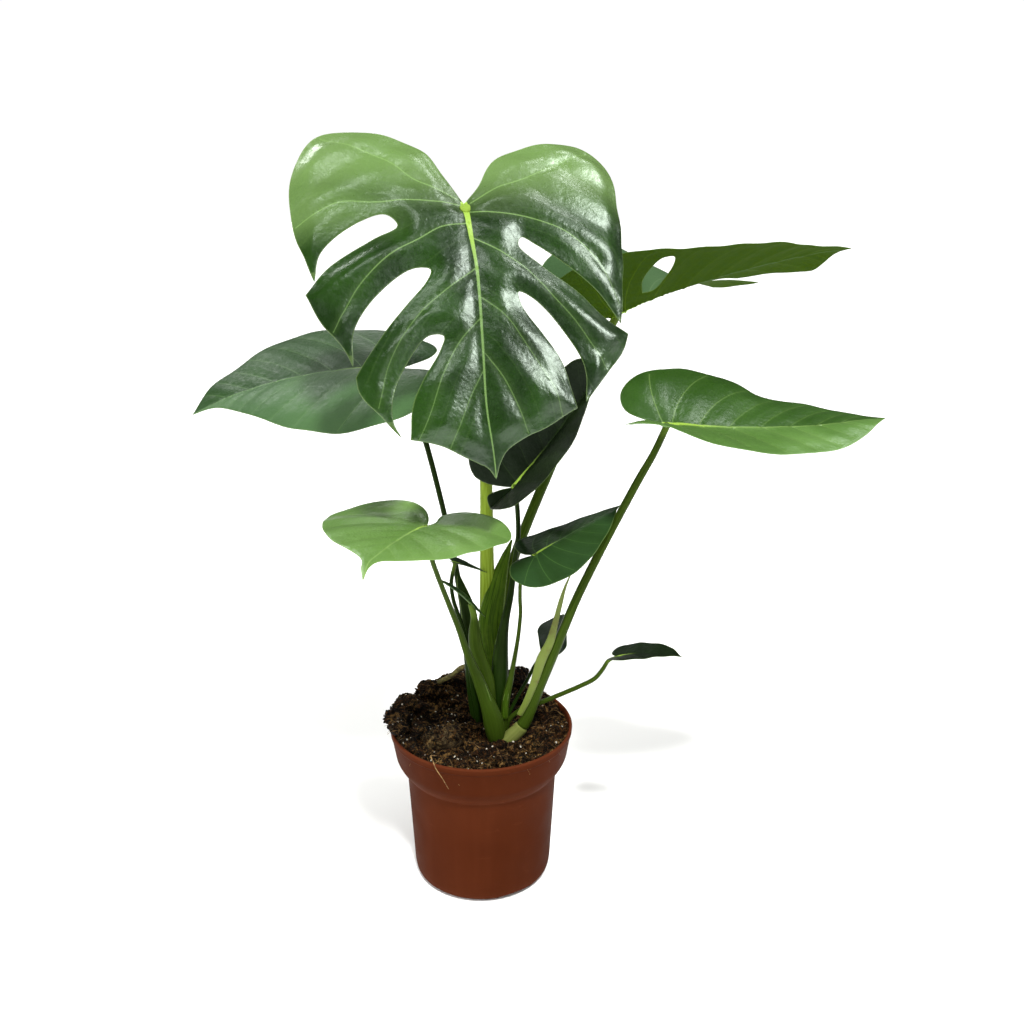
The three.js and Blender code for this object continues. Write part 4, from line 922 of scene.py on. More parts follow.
class Finish:
    """A procedural material in the making, with short calls for the nodes it needs."""

    def __init__(self, name, **sockets):
        self.material = bpy.data.materials.new(name)
        self.material.use_nodes = True
        self.tree = self.material.node_tree
        self.shader = self.tree.nodes["Principled BSDF"]
        self.place = self.add("ShaderNodeTexCoord").outputs["Object"]
        self.give(**sockets)

    def give(self, **sockets):
        """Sets sockets of the shader, with _ for the spaces in their names."""
        for name, value in sockets.items():
            self.feed(self.shader.inputs[name.replace("_", " ")], value)

    def feed(self, socket, value):
        """Links a socket to another, or gives it a value."""
        if isinstance(value, bpy.types.NodeSocket):
            self.tree.links.new(value, socket)
        elif socket.type == "RGBA" and len(value) == 3:
            socket.default_value = (*value, 1)
        else:
            socket.default_value = value

    def add(self, kind, inputs=(), **settings):
        node = self.tree.nodes.new(kind)
        for key, value in settings.items():
            setattr(node, key, value)
        for key, value in dict(inputs).items():
            self.feed(node.inputs[key], value)
        return node

    def number(self, name):
        """What the mesh holds under that name, one number for each point."""
        return self.add("ShaderNodeAttribute", attribute_name=name).outputs["Fac"]

    def vector(self, name):
        """What the mesh holds under that name, one vector for each point."""
        return self.add("ShaderNodeAttribute", attribute_name=name).outputs["Vector"]

    def axis(self, index, vector=None):
        """One coordinate of a vector, or else of the place in the object."""
        return self.add("ShaderNodeSeparateXYZ", {0: vector or self.place}).outputs[index]

    def stretch(self, vector, scale):
        """A vector with each coordinate scaled by its own factor."""
        return self.add("ShaderNodeMapping", {"Vector": vector, "Scale": scale}).outputs[0]

    def grain(self, scale, detail=3.0, rough=0.55, at=None, warp=0.0):
        """Soft noise with about that many features to the metre."""
        inputs = {"Vector": at or self.place, "Scale": scale, "Detail": detail, "Roughness": rough,
                  "Distortion": warp}
        return self.add("ShaderNodeTexNoise", inputs).outputs[0]

    def cells(self, scale):
        """Distance to the nearest of scattered dots."""
        inputs = {"Vector": self.place, "Scale": scale}
        return self.add("ShaderNodeTexVoronoi", inputs).outputs["Distance"]

    def span(self, value, low, high, bottom=0.0, top=1.0):
        """A value eased from bottom, where it is low, to top, where it is high."""
        inputs = {0: value, 1: low, 2: high, 3: bottom, 4: top}
        return self.add("ShaderNodeMapRange", inputs, interpolation_type="SMOOTHSTEP").outputs[0]

    def work(self, operation, a, b=0.0):
        """Two numbers put together by a named operation."""
        return self.add("ShaderNodeMath", {0: a, 1: b}, operation=operation).outputs[0]

    def times(self, a, b):
        """Two numbers multiplied."""
        return self.work("MULTIPLY", a, b)

    def blend(self, factor, a, b, mode="MIX"):
        """Colour a at factor 0, b laid over it at factor 1."""
        node = self.add("ShaderNodeMix", data_type="RGBA", blend_type=mode)
        for index, value in ((0, factor), (6, a), (7, b)):
            self.feed(node.inputs[index], value)
        return node.outputs[2]

    def emboss(self, height, depth, strength=1.0):
        """Fine relief by shading alone."""
        inputs = {"Height": height, "Distance": depth, "Strength": strength}
        self.give(Normal=self.add("ShaderNodeBump", inputs).outputs[0])


# Each leaf: deep and light of its upper face, its side veins, the underside and its veins;
# then its roughness, clear wax, how much the veins show, level of gloss, how strongly painted
# light pales the upper face near the stalk, and how strongly painted shade darkens one half,
# the left one where this is below 0.
LEAF_COLOURS = {
    "main_leaf": ("0c2003 1b3806 729250 3c5a1e 6a883c", 0.33, 0.15, 0.3, 0.85, 0.6, 0),
    "back_right_leaf": ("334a2d 3f5738 4e6444 324805 455c10", 0.6, 0.0, 0.35, 0.02, 0.0, 0),
    "left_leaf": ("375230 436039 5c7a48 33451c 556b38", 0.48, 0.0, 0.25, 0.4, 0.0, -1),
    "right_leaf": ("46672b 56773a 73904c 4c7030 6f9046", 0.34, 0.1, 0.2, 0.5, 0.0, 1),
    "front_left_leaf": ("4e6f2e 60803f 7d9b54 5c7c3e 789854", 0.38, 0.05, 0.14, 0.6, 0.0, 0),
    "shaded_leaf": ("0c1706 14200b 233216 1c2a10 304222", 0.5, 0.0, 0.3, 0.25, 0.0, 0),
    "middle_leaf": ("1e3414 294324 3c5a2a 22381a 385424", 0.46, 0.0, 0.3, 0.1, 0.0, 0.7),
    "small_back_leaf": ("12220b 1b2e11 2a401e 203814 344c22", 0.5, 0.0, 0.3, 0.3, 0.0, 0),
    "small_right_leaf": ("0b1407 101b0a 1c2d11 1c2e12 2a3e1c", 0.5, 0.0, 0.3, 0.1, 0.0, 0),
    "small_left_leaf": ("162a0e 203816 324a22 223a16 364c24", 0.5, 0.0, 0.2, 0.3, 0.0, 0),
    "new_leaf": ("1a3010 254216 385626 2a461a 405c2a", 0.45, 0.0, 0.2, 0.4, 0.0, 0),
}


def leaf_finish(name, settings):
    """Waxy leaf: mottled greens, pale veins and midrib, thin light edge, duller underside, painted
    light near the stalk and painted shade on one half.
    """
    greens, rough, wax, contrast, sheen, painted_light, shaded_half = LEAF_COLOURS[name]
    deep, light, vein, under, under_vein = (paint(text) for text in greens.split())
    f = Finish(f"{name}_skin", Coat_Weight=wax, Coat_Roughness=0.25, Specular_IOR_Level=sheen,
               Specular_Tint=paint("e2f2e4"))
    below = f.number("under")
    reach = f.number("reach")
    side = f.axis(0)
    broad = f.grain(14, 2, 0.5, warp=0.6)
    fine = f.grain(260, 4, 0.6)
    lanes = f.work("PINGPONG", f.times(f.number("lane"), 5.0), 1.0)
    thread = f.span(lanes, 0.12, 0.0)
    on_vein = f.times(f.span(f.number("vein"), 0.5, 0.0), f.span(reach, 0.1, 0.5, 1.0, 0.45))
    beside = f.span(f.number("vein"), 5.0, 0.3)
    on_rib = f.span(f.number("rib"), 0.55, 0.0)
    on_edge = f.span(f.number("edge"), 0.6, 0.15)

    upper = f.blend(f.span(broad, 0.36, 0.66), deep, light)
    upper = f.blend(f.times(f.span(fine, 0.42, 0.7), 0.12), upper, light)
    # Painted light: where light falls on the basal lobes and on the left of the blade near its
    # stalk, the upper face is paled towards the vein colour.
    sunny = f.times(f.span(side, -0.01, -0.11), f.span(reach, 0.2, 0.03, 0.0, 0.75))
    sunny = f.work("MAXIMUM", sunny, f.span(reach, 0.1, -0.16))
    upper = f.blend(f.times(sunny, painted_light), upper, vein)
    # Painted shade: one half of the upper face is darkened where it is turned from the light.
    painted_half_shade = f.span(f.number("half"), -0.8 * shaded_half, 0.8 * shaded_half, 0.0, abs(shaded_half)) if shaded_half else 0.0
    upper = f.blend(painted_half_shade, upper, (0.33, 0.43, 0.28), "MULTIPLY")
    upper = f.blend(f.times(beside, 0.16 * contrast), upper, vein)
    upper = f.blend(f.times(thread, 0.16 * contrast), upper, vein)
    upper = f.blend(f.times(on_vein, 2 * contrast), upper, vein)
    lower = f.blend(f.span(fine, 0.3, 0.75), under, deep)
    lower = f.blend(0.72, lower, under)
    veined = f.work("MAXIMUM", on_vein, f.times(thread, 0.3))
    lower = f.blend(f.times(veined, 0.8), lower, under_vein)
    skin = f.blend(below, upper, lower)
    rib = f.blend(f.span(reach, 0.05, 0.35), tuple(settings.rib), vein)
    skin = f.blend(f.times(on_rib, f.span(reach, 0.1, 0.6, 0.9, 0.3 + contrast)), skin, rib)
    skin = f.blend(f.times(on_edge, 0.13), skin, tuple(settings.edge))
    spread = f.span(fine, 0.2, 0.8, rough - 0.07, rough + 0.09)
    spread = f.work("ADD", spread, f.times(below, 0.16))
    f.give(Base_Color=skin, Roughness=spread)
    f.emboss(f.grain(330, 1.5), 0.0005, 0.6)
    return f.material


def stalk_finish(name, skin, streak, low, rough=0.42):
    """Smooth petiole: fine lengthwise streaks, lighter towards the foot, few pale specks."""
    f = Finish(name, Specular_IOR_Level=0.12, Specular_Tint=paint("d0e4a0"))
    along = f.vector("skin")
    lines = f.grain(2.6, 2, 0.45, f.stretch(along, (1.6, 1.6, 0.012)))
    cloud = f.grain(30, 3, 0.5)
    specks = f.span(f.cells(420), 0.16, 0.05)
    height = f.axis(2)
    green = f.blend(f.span(lines, 0.35, 0.68), skin, streak)
    green = f.blend(f.times(f.span(height, 0.24, 0.13), 0.75), green, low)
    green = f.blend(f.times(f.span(cloud, 0.4, 0.75), 0.3), green, streak)
    green = f.blend(f.times(specks, 0.3), green, low)
    green = f.blend(f.number("tip"), green, paint("78943a"))
    f.give(Base_Color=green, Roughness=f.span(lines, 0.3, 0.7, rough - 0.06, rough + 0.1))
    f.emboss(f.work("ADD", lines, f.times(f.grain(700, 2), 0.2)), 0.0003, 0.5)
    return f.material


def sheath_finish(name, skin, streak, margin):
    """Broad sheath: parallel veins along it and a pale papery side."""
    f = Finish(name, Specular_IOR_Level=0.12, Specular_Tint=paint("d0e4a0"))
    along = f.vector("skin")
    across = f.axis(0, along)
    lines = f.grain(5.5, 3, 0.5, f.stretch(along, (2.4, 2.4, 0.006)))
    edge = f.span(f.work("ABSOLUTE", across), 0.86, 0.99)
    green = f.blend(f.span(lines, 0.36, 0.66), skin, streak)
    green = f.blend(f.times(edge, 0.7), green, margin)
    green = f.blend(f.times(f.span(f.grain(45, 4), 0.5, 0.75), 0.35), green, margin)
    f.give(Base_Color=green, Roughness=f.span(lines, 0.3, 0.7, 0.38, 0.52))
    f.emboss(lines, 0.0004, 0.6)
    return f.material


def husk_finish(name, pale, streak, brown):
    """Dried sheath: papery, straw green, brown at its tip and edges."""
    f = Finish(name, Sheen_Weight=0.1)
    along = f.vector("skin")
    lines = f.grain(5, 4, 0.65, f.stretch(along, (2.6, 2.6, 0.015)))
    blot = f.grain(60, 4, 0.6)
    straw = f.blend(f.span(lines, 0.3, 0.7), pale, streak)
    straw = f.blend(f.times(f.span(blot, 0.52, 0.72), 0.7), straw, brown)
    f.give(Base_Color=straw, Roughness=f.span(blot, 0.3, 0.7, 0.55, 0.75))
    f.emboss(f.work("ADD", lines, f.times(blot, 0.5)), 0.0005, 0.7)
    return f.material


def soil_finish(name, dark, light, damp=0.0, dry=0.4):
    """Peat: near black in the hollows, brown crumbs and golden dry patches."""
    f = Finish(name, Specular_IOR_Level=0.12)
    crumbs = f.grain(300, 6, 0.75, warp=0.3)
    lumps = f.cells(260)
    broad = f.grain(85, 4, 0.6)
    # Darker where the relief is low: the peat's own dark tone, deepened in the hollows with painted
    # shade.
    earth = f.blend(f.span(crumbs, 0.46, 0.66), dark, light)
    golden = f.times(f.span(broad, 0.47, 0.58), f.span(crumbs, 0.48, 0.6))
    earth = f.blend(f.times(golden, dry), earth, paint("8a6a3c"))
    earth = f.blend(f.times(f.span(lumps, 0.35, 0.05), 0.5), earth, dark)
    earth = f.blend(f.times(f.span(f.grain(1100, 2), 0.64, 0.74), 0.5), earth, paint("a08a62"))
    f.give(Base_Color=earth, Roughness=f.span(crumbs, 0.35, 0.7, 0.6 - damp, 0.95))
    f.emboss(f.work("SUBTRACT", crumbs, f.times(lumps, 0.6)), 0.003, 1.0)
    return f.material


def grain_finish(name, low, high, depth, scale, rough=0.85):
    """Loose grains and roots: two mottled tones and a rough face."""
    f = Finish(name, Specular_IOR_Level=0.3)
    mottle = f.grain(scale, 4, 0.6)
    f.give(Base_Color=f.blend(f.span(mottle, 0.35, 0.68), low, high),
           Roughness=f.span(mottle, 0.3, 0.7, rough - 0.1, rough + 0.05))
    f.emboss(mottle, depth, 0.8)
    return f.material


def pot_finish(settings):
    """Matte moulded plastic: fine orange-peel grain, drawn streaks, dusty worn edges."""
    f = Finish("pot_plastic", Specular_IOR_Level=0.02, Specular_Tint=paint("f0a078"))
    wall, dust = tuple(settings.wall), tuple(settings.dust)
    height = f.axis(2)
    cloud = f.grain(16, 3, 0.5)
    streak = f.grain(60, 3, 0.6, f.stretch(f.place, (1, 1, 0.06)))
    peel = f.grain(1300, 3, 0.55)
    worn = f.number("worn")
    scuff = f.span(f.grain(120, 5, 0.65, f.stretch(f.place, (0.5, 0.5, 1.6)), 0.8), 0.6, 0.74)
    dark = tuple(0.88 * c for c in wall)
    plastic = f.blend(f.span(cloud, 0.35, 0.7), wall, dark)
    plastic = f.blend(f.times(f.span(streak, 0.45, 0.7), 0.05), plastic, dust)
    plastic = f.blend(f.times(worn, 0.3), plastic, dust)
    plastic = f.blend(f.times(scuff, f.work("ADD", f.times(worn, 0.3), 0.12)), plastic, dust)
    soiled = f.times(f.span(height, 0.118, 0.134), f.span(f.grain(190, 4, 0.7), 0.58, 0.72))
    plastic = f.blend(f.times(soiled, 0.55), plastic, paint("2a1a10"))
    f.give(Base_Color=plastic, Roughness=f.span(f.grain(40, 4), 0.3, 0.7, 0.55, 0.68))
    f.emboss(peel, 0.00012, 0.6)
    return f.material


# ------------------------------------------------------------------ strewn grains


class Strewing:
    """A Geometry Nodes tree in the making that strews one kind of bit over a surface."""

    def __init__(self, name, inputs, finish):
        self.group = bpy.data.node_groups.new(name, "GeometryNodeTree")
        face = self.group.interface
        face.new_socket("Geometry", in_out="INPUT", socket_type="NodeSocketGeometry")
        for title, value in inputs.items():
            kind = "NodeSocketInt" if isinstance(value, int) else "NodeSocketFloat"
            face.new_socket(title, in_out="INPUT", socket_type=kind).default_value = value
        face.new_socket("Geometry", in_out="OUTPUT", socket_type="NodeSocketGeometry")
        self.inputs = inputs
        self.start = self.add("NodeGroupInput")
        self.end = self.add("NodeGroupOutput")
        self.finish = finish

    def add(self, kind, inputs=(), **settings):
        node = self.group.nodes.new(kind)
        for key, value in settings.items():
            setattr(node, key, value)
        for key, value in dict(inputs).items():
            if isinstance(value, bpy.types.NodeSocket):
                self.group.links.new(value, node.inputs[key])
            else:
                node.inputs[key].default_value = value
        return node

    def given(self, title):
        """A named input of the tree."""
        return self.start.outputs[title]

    def ragged(self, shape, strength, scale, seed):
        """The shape with its points pushed about by noise."""
        wobble = self.add("ShaderNodeTexNoise", {"Scale": scale, "Detail": 1.0, "W": seed},
                          noise_dimensions="4D").outputs["Color"]
        shift = self.add("ShaderNodeVectorMath", {0: wobble, 1: (0.5, 0.5, 0.5)},
                         operation="SUBTRACT")
        sized = self.add("ShaderNodeVectorMath", {0: shift.outputs[0], "Scale": strength},
                         operation="SCALE")
        return self.add("GeometryNodeSetPosition", {"Geometry": shape, "Offset": sized.outputs[0]})

    def strew(self, shapes, low, high, tilt):
        """Strews picked shapes on the upper side of the surface, turned and sized at random."""
        normal = self.add("GeometryNodeInputNormal").outputs[0]
        up = self.add("ShaderNodeSeparateXYZ", {0: normal}).outputs[2]
        open_side = self.add("FunctionNodeCompare", {0: up, 1: 0.05}, operation="GREATER_THAN")
        dots = self.add("GeometryNodeDistributePointsOnFaces",
                        {"Mesh": self.given("Geometry"), "Selection": open_side.outputs[0],
                         "Density": self.given("Density"), "Seed": self.given("Seed")})
        joined = self.add("GeometryNodeGeometryToInstance")
        for shape in shapes:
            self.group.links.new(shape, joined.inputs[0])
        pick = self.add("FunctionNodeRandomValue", data_type="INT")
        pick.inputs["Min"].default_value, pick.inputs["Max"].default_value = 0, len(shapes) - 1
        turn = self.add("FunctionNodeRandomValue", data_type="FLOAT_VECTOR")
        turn.inputs["Min"].default_value = (-tilt, -tilt, 0)
        turn.inputs["Max"].default_value = (tilt, tilt, 2 * math.pi)
        size = self.add("FunctionNodeRandomValue", data_type="FLOAT_VECTOR")
        size.inputs["Min"].default_value = (low, low, low)
        size.inputs["Max"].default_value = (high, high, high)
        for node, step in ((pick, 1), (turn, 2), (size, 3)):
            shifted = self.add("ShaderNodeMath", {0: self.given("Seed"), 1: float(step)})
            self.group.links.new(shifted.outputs[0], node.inputs["Seed"])
        placed = self.add("GeometryNodeInstanceOnPoints",
                          {"Points": dots.outputs["Points"], "Instance": joined.outputs[0],
                           "Pick Instance": True})
        for node, target in ((pick, "Instance Index"), (turn, "Rotation"), (size, "Scale")):
            out = next(o for o in node.outputs if o.enabled)
            self.group.links.new(out, placed.inputs[target])
        real = self.add("GeometryNodeRealizeInstances", {0: placed.outputs[0]})
        smooth = self.add("GeometryNodeSetShadeSmooth", {0: real.outputs[0]})
        dressed = self.add("GeometryNodeSetMaterial",
                           {0: smooth.outputs[0], "Material": self.finish})
        self.group.links.new(dressed.outputs[0], self.end.inputs[0])

    def run(self, name, base):
        """The strewn bits over base as one plain mesh."""
        carrier = bpy.data.objects.new(f"{name}_bed", base.data)
        bpy.context.scene.collection.objects.link(carrier)
        modifier = carrier.modifiers.new("Strewing", "NODES")
        modifier.node_group = self.group
        for item in self.group.interface.items_tree:
            if item.in_out == "INPUT" and item.name in self.inputs:
                modifier[item.identifier] = self.inputs[item.name]
        graph = bpy.context.evaluated_depsgraph_get()
        mesh = bpy.data.meshes.new_from_object(carrier.evaluated_get(graph))
        bpy.data.objects.remove(carrier)
        mesh.name = name
        if not len(mesh.polygons):
            raise RuntimeError(f"{name}: nothing was strewn")
        piece = bpy.data.objects.new(name, mesh)
        bpy.context.scene.collection.objects.link(piece)
        return piece


# ------------------------------------------------------------------ pieces


def belong(piece, slot, *nodes):
    """The piece rides on the one body and stands for its nodes; the slot it is given is not used.
    """
    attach(piece, "root")
    if nodes:
        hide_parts(*nodes)
    return piece


def seat_on_blade(points, leaf, near):
    """Presses the points of a stalk that reach through its blade back to its underside."""
    origin, x, y, _ = blade_frame(leaf)
    reach, rounds, furthest, ease = 0.2, 12, 3, 0.8
    play, deepest = 0.15, 9
    close = np.linalg.norm(points - origin, axis=1) < near
    some = points[close]
    flat = np.stack([(some - origin) @ x, (some - origin) @ y], 1)
    for _ in range(rounds):
        at = bend_blade(leaf, flat)
        du = (bend_blade(leaf, flat + (reach, 0)) - at) / reach
        dv = (bend_blade(leaf, flat + (0, reach)) - at) / reach
        miss = some - at
        a, b, c = (du * du).sum(1), (du * dv).sum(1), (dv * dv).sum(1)
        p, q = (miss * du).sum(1), (miss * dv).sum(1)
        det = np.maximum(a * c - b * b, 1e-9)
        step = np.stack([(c * p - b * q) / det, (a * q - b * p) / det], 1)
        flat += np.clip(step, -furthest, furthest) * ease
    normal = blade_normals(leaf, flat)
    height = ((some - bend_blade(leaf, flat)) * normal).sum(1)
    down = np.clip(height + play, 0, deepest)
    moved = points.copy()
    moved[close] = some - normal * down[:, None]
    return moved


def stalk_rows(name):
    """Rows of a stalk, with a slight knee below the blade and its last row in the blade."""
    rows = [list(row) for row in STALKS[name]["stalk"]]
    radius = 0.94 * rows[-1][3]
    joint = bend_blade(LEAVES[name], [(1.25 * radius, 0)])[0]
    return [*rows, [*joint, radius, radius]]


def margin_rows(rows, side, thick):
    """A thin line along one side of a sheath, a little towards the viewer."""
    rows = np.asarray(rows, float)
    made = rows.copy()
    made[:, 0] += side * rows[:, 3] * 0.88
    made[:, 1] -= rows[:, 4] * 0.42
    made[:, 3:] = thick
    made[-1, :3] = rows[-1, :3]
    made[-1, 3:] = 0.5 * thick
    return made[1:]


def rounded(path, arc=5):
    """A half section [radius, height, rounding] with its corners rounded off."""
    out = []
    for k, (r, z, fillet) in enumerate(path):
        here = np.array((r, z), float)
        if not fillet or k in (0, len(path) - 1):
            out.append(here)
            continue
        before, after = np.array(path[k - 1][:2], float), np.array(path[k + 1][:2], float)
        back, on = before - here, after - here
        size = min(fillet, 0.45 * np.linalg.norm(back), 0.45 * np.linalg.norm(on))
        enter = here + back / np.linalg.norm(back) * size
        leave = here + on / np.linalg.norm(on) * size
        for t in np.linspace(0, 1, arc + 1):
            out.append((1 - t) ** 2 * enter + 2 * t * (1 - t) * here + t * t * leave)
    return np.array(out)


def lathe(section, segments):
    """A half section that starts and ends on the axis, turned round it, closed at both poles."""
    turn = 2 * np.pi * np.arange(segments) / segments
    rings = section[1:-1]
    points = [(0, 0, section[0][1])]
    for r, z in rings:
        points += [(r * math.cos(a), r * math.sin(a), z) for a in turn]
    points.append((0, 0, section[-1][1]))
    last = len(points) - 1
    faces = []
    for k in range(segments):
        n = (k + 1) % segments
        faces.append((0, 1 + n, 1 + k))
        for i in range(len(rings) - 1):
            a, b = 1 + i * segments + k, 1 + i * segments + n
            faces.append((a, b, b + segments, a + segments))
        base = 1 + (len(rings) - 1) * segments
        faces.append((base + k, base + n, last))
    return points, faces


class MONSTERA_OT_pot(bpy.types.Operator):
    """Make the round nursery pot with its collar, lip and drain notches"""
    bl_idname = "monstera.pot"
    bl_label = "Nursery Pot"

    def execute(self, context):
        settings = context.scene.monstera_pot
        p = POT
        foot, heel, rim, collar = p["foot"], p["heel"], p["rim"], p["collar"]
        body, shoulder, wall = p["body"], p["shoulder"], p["wall"]
        # Out under the foot, up the outside, over the lip and down the inside.
        path = [
            (0, 0, 0), (foot - heel, 0, 3), (foot - 0.42 * heel, 0.09 * heel + 0.4, 2),
            (foot - 0.1 * heel, 0.42 * heel, 2), (foot, heel, 3), (0.5 * (foot + body), 52, 4),
            (body, shoulder, 1.2), (body + 2.2, shoulder + 2.6, 1.2),
            (body + 6, shoulder + 7.5, 2.4), (collar - 0.8, p["collar_foot"] - 5, 2.4),
            (collar, p["collar_foot"], 1.6),
            (rim - 1.1, p["height"] - 6.4, 0.5), (rim - 0.35, p["height"] - 5.4, 0.5),
            (rim, p["height"] - 1.2, 0.8), (rim - 0.6, p["height"], 0.5),
            (rim - p["lip"] + 0.5, p["height"], 0.4), (rim - p["lip"], p["height"] - 1, 0.6),
            (collar - wall, p["collar_foot"], 2), (body + 6 - wall, shoulder + 8.6, 2.5),
            (body - wall, shoulder, 2.5), (foot - wall, heel + 1, 3),
            (foot - heel - wall, p["floor"], 2), (0, p["floor"], 0),
        ]
        points, faces = lathe(rounded(path), settings.segments)
        points = np.array(points)
        # Dust gathers on the lip, along the shoulder and at the foot.
        z, r = points[:, 2], np.hypot(points[:, 0], points[:, 1])
        worn = np.maximum(smoothstep(z, p["height"] - 2.6, p["height"] - 0.4),
                          0.8 * np.exp(-((z - shoulder - 4) / 5) ** 2) * (r > body - 0.5))
        worn = np.maximum(worn, 0.6 * np.exp(-(z / 9) ** 2))
        shell = Shell()
        shell.add(points, faces, worn=worn)
        pot = shell.piece("pot_shell", [pot_finish(settings)])
        cutter = bpy.data.meshes.new("notch_cutter")
        cut = bmesh.new()
        half, curve, below = p["notch_width"] / 2, p["notch_round"], -6
        arch = [(half * math.cos(a), p["notch_height"] - curve + curve * math.sin(a))
                for a in np.linspace(0, math.pi, 15)]
        arch = [(half, below), *arch, (-half, below)]
        for k in range(p["notches"]):
            angle = math.radians(p["first_notch"]) + 2 * math.pi * k / p["notches"]
            rings = []
            for out in (foot - p["notch_depth"] / 2, foot + p["notch_depth"] / 2):
                rings.append([cut.verts.new(Vector((
                    (out * math.cos(angle) - a * math.sin(angle)) * MM,
                    (out * math.sin(angle) + a * math.cos(angle)) * MM, h * MM)))
                    for a, h in arch])
            for i in range(len(arch)):
                j = (i + 1) % len(arch)
                cut.faces.new((rings[0][i], rings[0][j], rings[1][j], rings[1][i]))
            cut.faces.new(rings[0][::-1])
            cut.faces.new(rings[1])
        bmesh.ops.recalc_face_normals(cut, faces=cut.faces)
        cut.to_mesh(cutter)
        cut.free()
        tool = bpy.data.objects.new("notch_cutter", cutter)
        context.scene.collection.objects.link(tool)
        modifier = pot.modifiers.new("Notches", "BOOLEAN")
        modifier.operation, modifier.object, modifier.solver = "DIFFERENCE", tool, "EXACT"
        settle(pot)
        bpy.data.objects.remove(tool)
        sharpen(pot, 40)
        belong(pot, "pot", "pot")
        return {"FINISHED"}


def settle(piece):
    """Gives the piece the mesh that its modifiers make, and takes them off."""
    graph = bpy.context.evaluated_depsgraph_get()
    mesh = bpy.data.meshes.new_from_object(piece.evaluated_get(graph))
    piece.modifiers.clear()
    piece.data = mesh
    mesh.name = piece.name


def sharpen(piece, angle):
    """Marks edges sharper than that many degrees, so that shading breaks there."""
    made = bmesh.new()
    made.from_mesh(piece.data)
    for edge in made.edges:
        edge.smooth = len(edge.link_faces) == 2 and edge.calc_face_angle(0) < math.radians(angle)
    made.to_mesh(piece.data)
    made.free()


def soil_height(x, y):
    """How high the soil stands at a place, its crumbs and clods left out."""
    radius = np.hypot(x, y)
    fall = 1 - 0.8 * smoothstep(radius, SOIL["brim"], POT["rim"])
    heap = fall * (np.maximum(0, y) * SOIL["back_heap"] + np.maximum(0, -x) * SOIL["left_heap"])
    crumbs = (np.sin(0.21 * x + 1.3) * np.sin(0.17 * y + 0.4) + 0.6 * np.sin(0.43 * x + 0.31 * y)
              + 0.5 * np.sin(0.37 * y - 0.29 * x + 2))
    return (SOIL["level"] + SOIL["bank"] * (radius / POT["collar"]) ** 2 + heap / POT["collar"]
            + SOIL["relief"] * crumbs)


def clod(index, entry):
    """A lump of soil with a crumbly face."""
    ball = bmesh.new()
    bmesh.ops.create_icosphere(ball, subdivisions=4, radius=1)
    points = np.array([v.co for v in ball.verts])
    faces = [tuple(v.index for v in face.verts) for face in ball.faces]
    ball.free()
    x, y, z = points.T
    dent = (1 + 0.16 * np.sin(3.1 * x + 2 * index)
            + 0.14 * np.sin(4.3 * y + index) * np.sin(3.7 * z + 3 * index))
    dent += 0.13 * uneven(points, 0.55, 3.7 * index, 4)
    points = points * dent[:, None] * entry["size"]
    turn = math.radians(entry["turn"])
    x, y = entry["at"]
    points = np.stack([points[:, 0] * math.cos(turn) - points[:, 1] * math.sin(turn) + x,
                       points[:, 0] * math.sin(turn) + points[:, 1] * math.cos(turn) + y,
                       points[:, 2] + soil_height(x, y) + entry["lift"]], 1)
    return points, faces


class MONSTERA_OT_soil(bpy.types.Operator):
    """Make the heaped peat with its clods"""
    bl_idname = "monstera.soil"
    bl_label = "Potting Soil"

    def execute(self, context):
        settings = context.scene.monstera_soil
        segments, inside, rim = SOIL["segments"], SOIL["inside"], POT["height"]
        turn = 2 * np.pi * np.arange(segments) / segments
        brink = soil_height((inside + 1) * np.cos(turn), (inside + 1) * np.sin(turn))
        over = smoothstep(brink, rim - 0.5, rim + 2)
        # Rings out to the wall, and over the rim where the soil is heaped higher.
        points = [(0, 0, float(soil_height(0.0, 0.0)))]
        for share in np.linspace(0, 1, SOIL["rings"] + 1)[1:]:
            radius = share * (inside + SOIL["spill"] * over)
            x, y = radius * np.cos(turn), radius * np.sin(turn)
            z = soil_height(x, y)
            rough = SOIL["crumble"] * uneven(np.stack([x, y, z], 1), 8.0, 1.0, 6)
            z = z + np.minimum(rough, 1.6) - 0.5
            z = np.where(radius > inside + 0.2, np.maximum(z, rim + 0.5), z)
            points += list(zip(x, y, z))
        # A skirt and a bottom close it inside the pot.
        edge = np.minimum(z, rim + 0.4)
        for radius, drop in ((inside, 0.0), (SOIL["skirt"], SOIL["skirt_drop"])):
            points += list(zip(radius * np.cos(turn), radius * np.sin(turn), edge - drop))
        faces = [(0, 1 + k, 1 + (k + 1) % segments) for k in range(segments)]
        for ring in range((len(points) - 1) // segments - 1):
            for k in range(segments):
                a, b = 1 + ring * segments + k, 1 + ring * segments + (k + 1) % segments
                faces.append((a, a + segments, b + segments, b))
        low = len(points)
        last = low - segments
        points.append((0, 0, SOIL["bottom"]))
        faces += [(low, last + (k + 1) % segments, last + k) for k in range(segments)]
        shell = Shell()
        shell.add(points, faces)
        for index, entry in enumerate(CLODS):
            shell.add(*clod(index, entry), entry.get("dry", 0))
        peat = soil_finish("damp_peat", tuple(settings.dark), tuple(settings.light), 0.06)
        crust = soil_finish("dry_clod", paint("3d3020"), paint("7a6a48"), 0.0, 0.35)
        soil = shell.piece("potting_soil", [peat, crust])
        belong(soil, "soil", "soil")
        return {"FINISHED"}


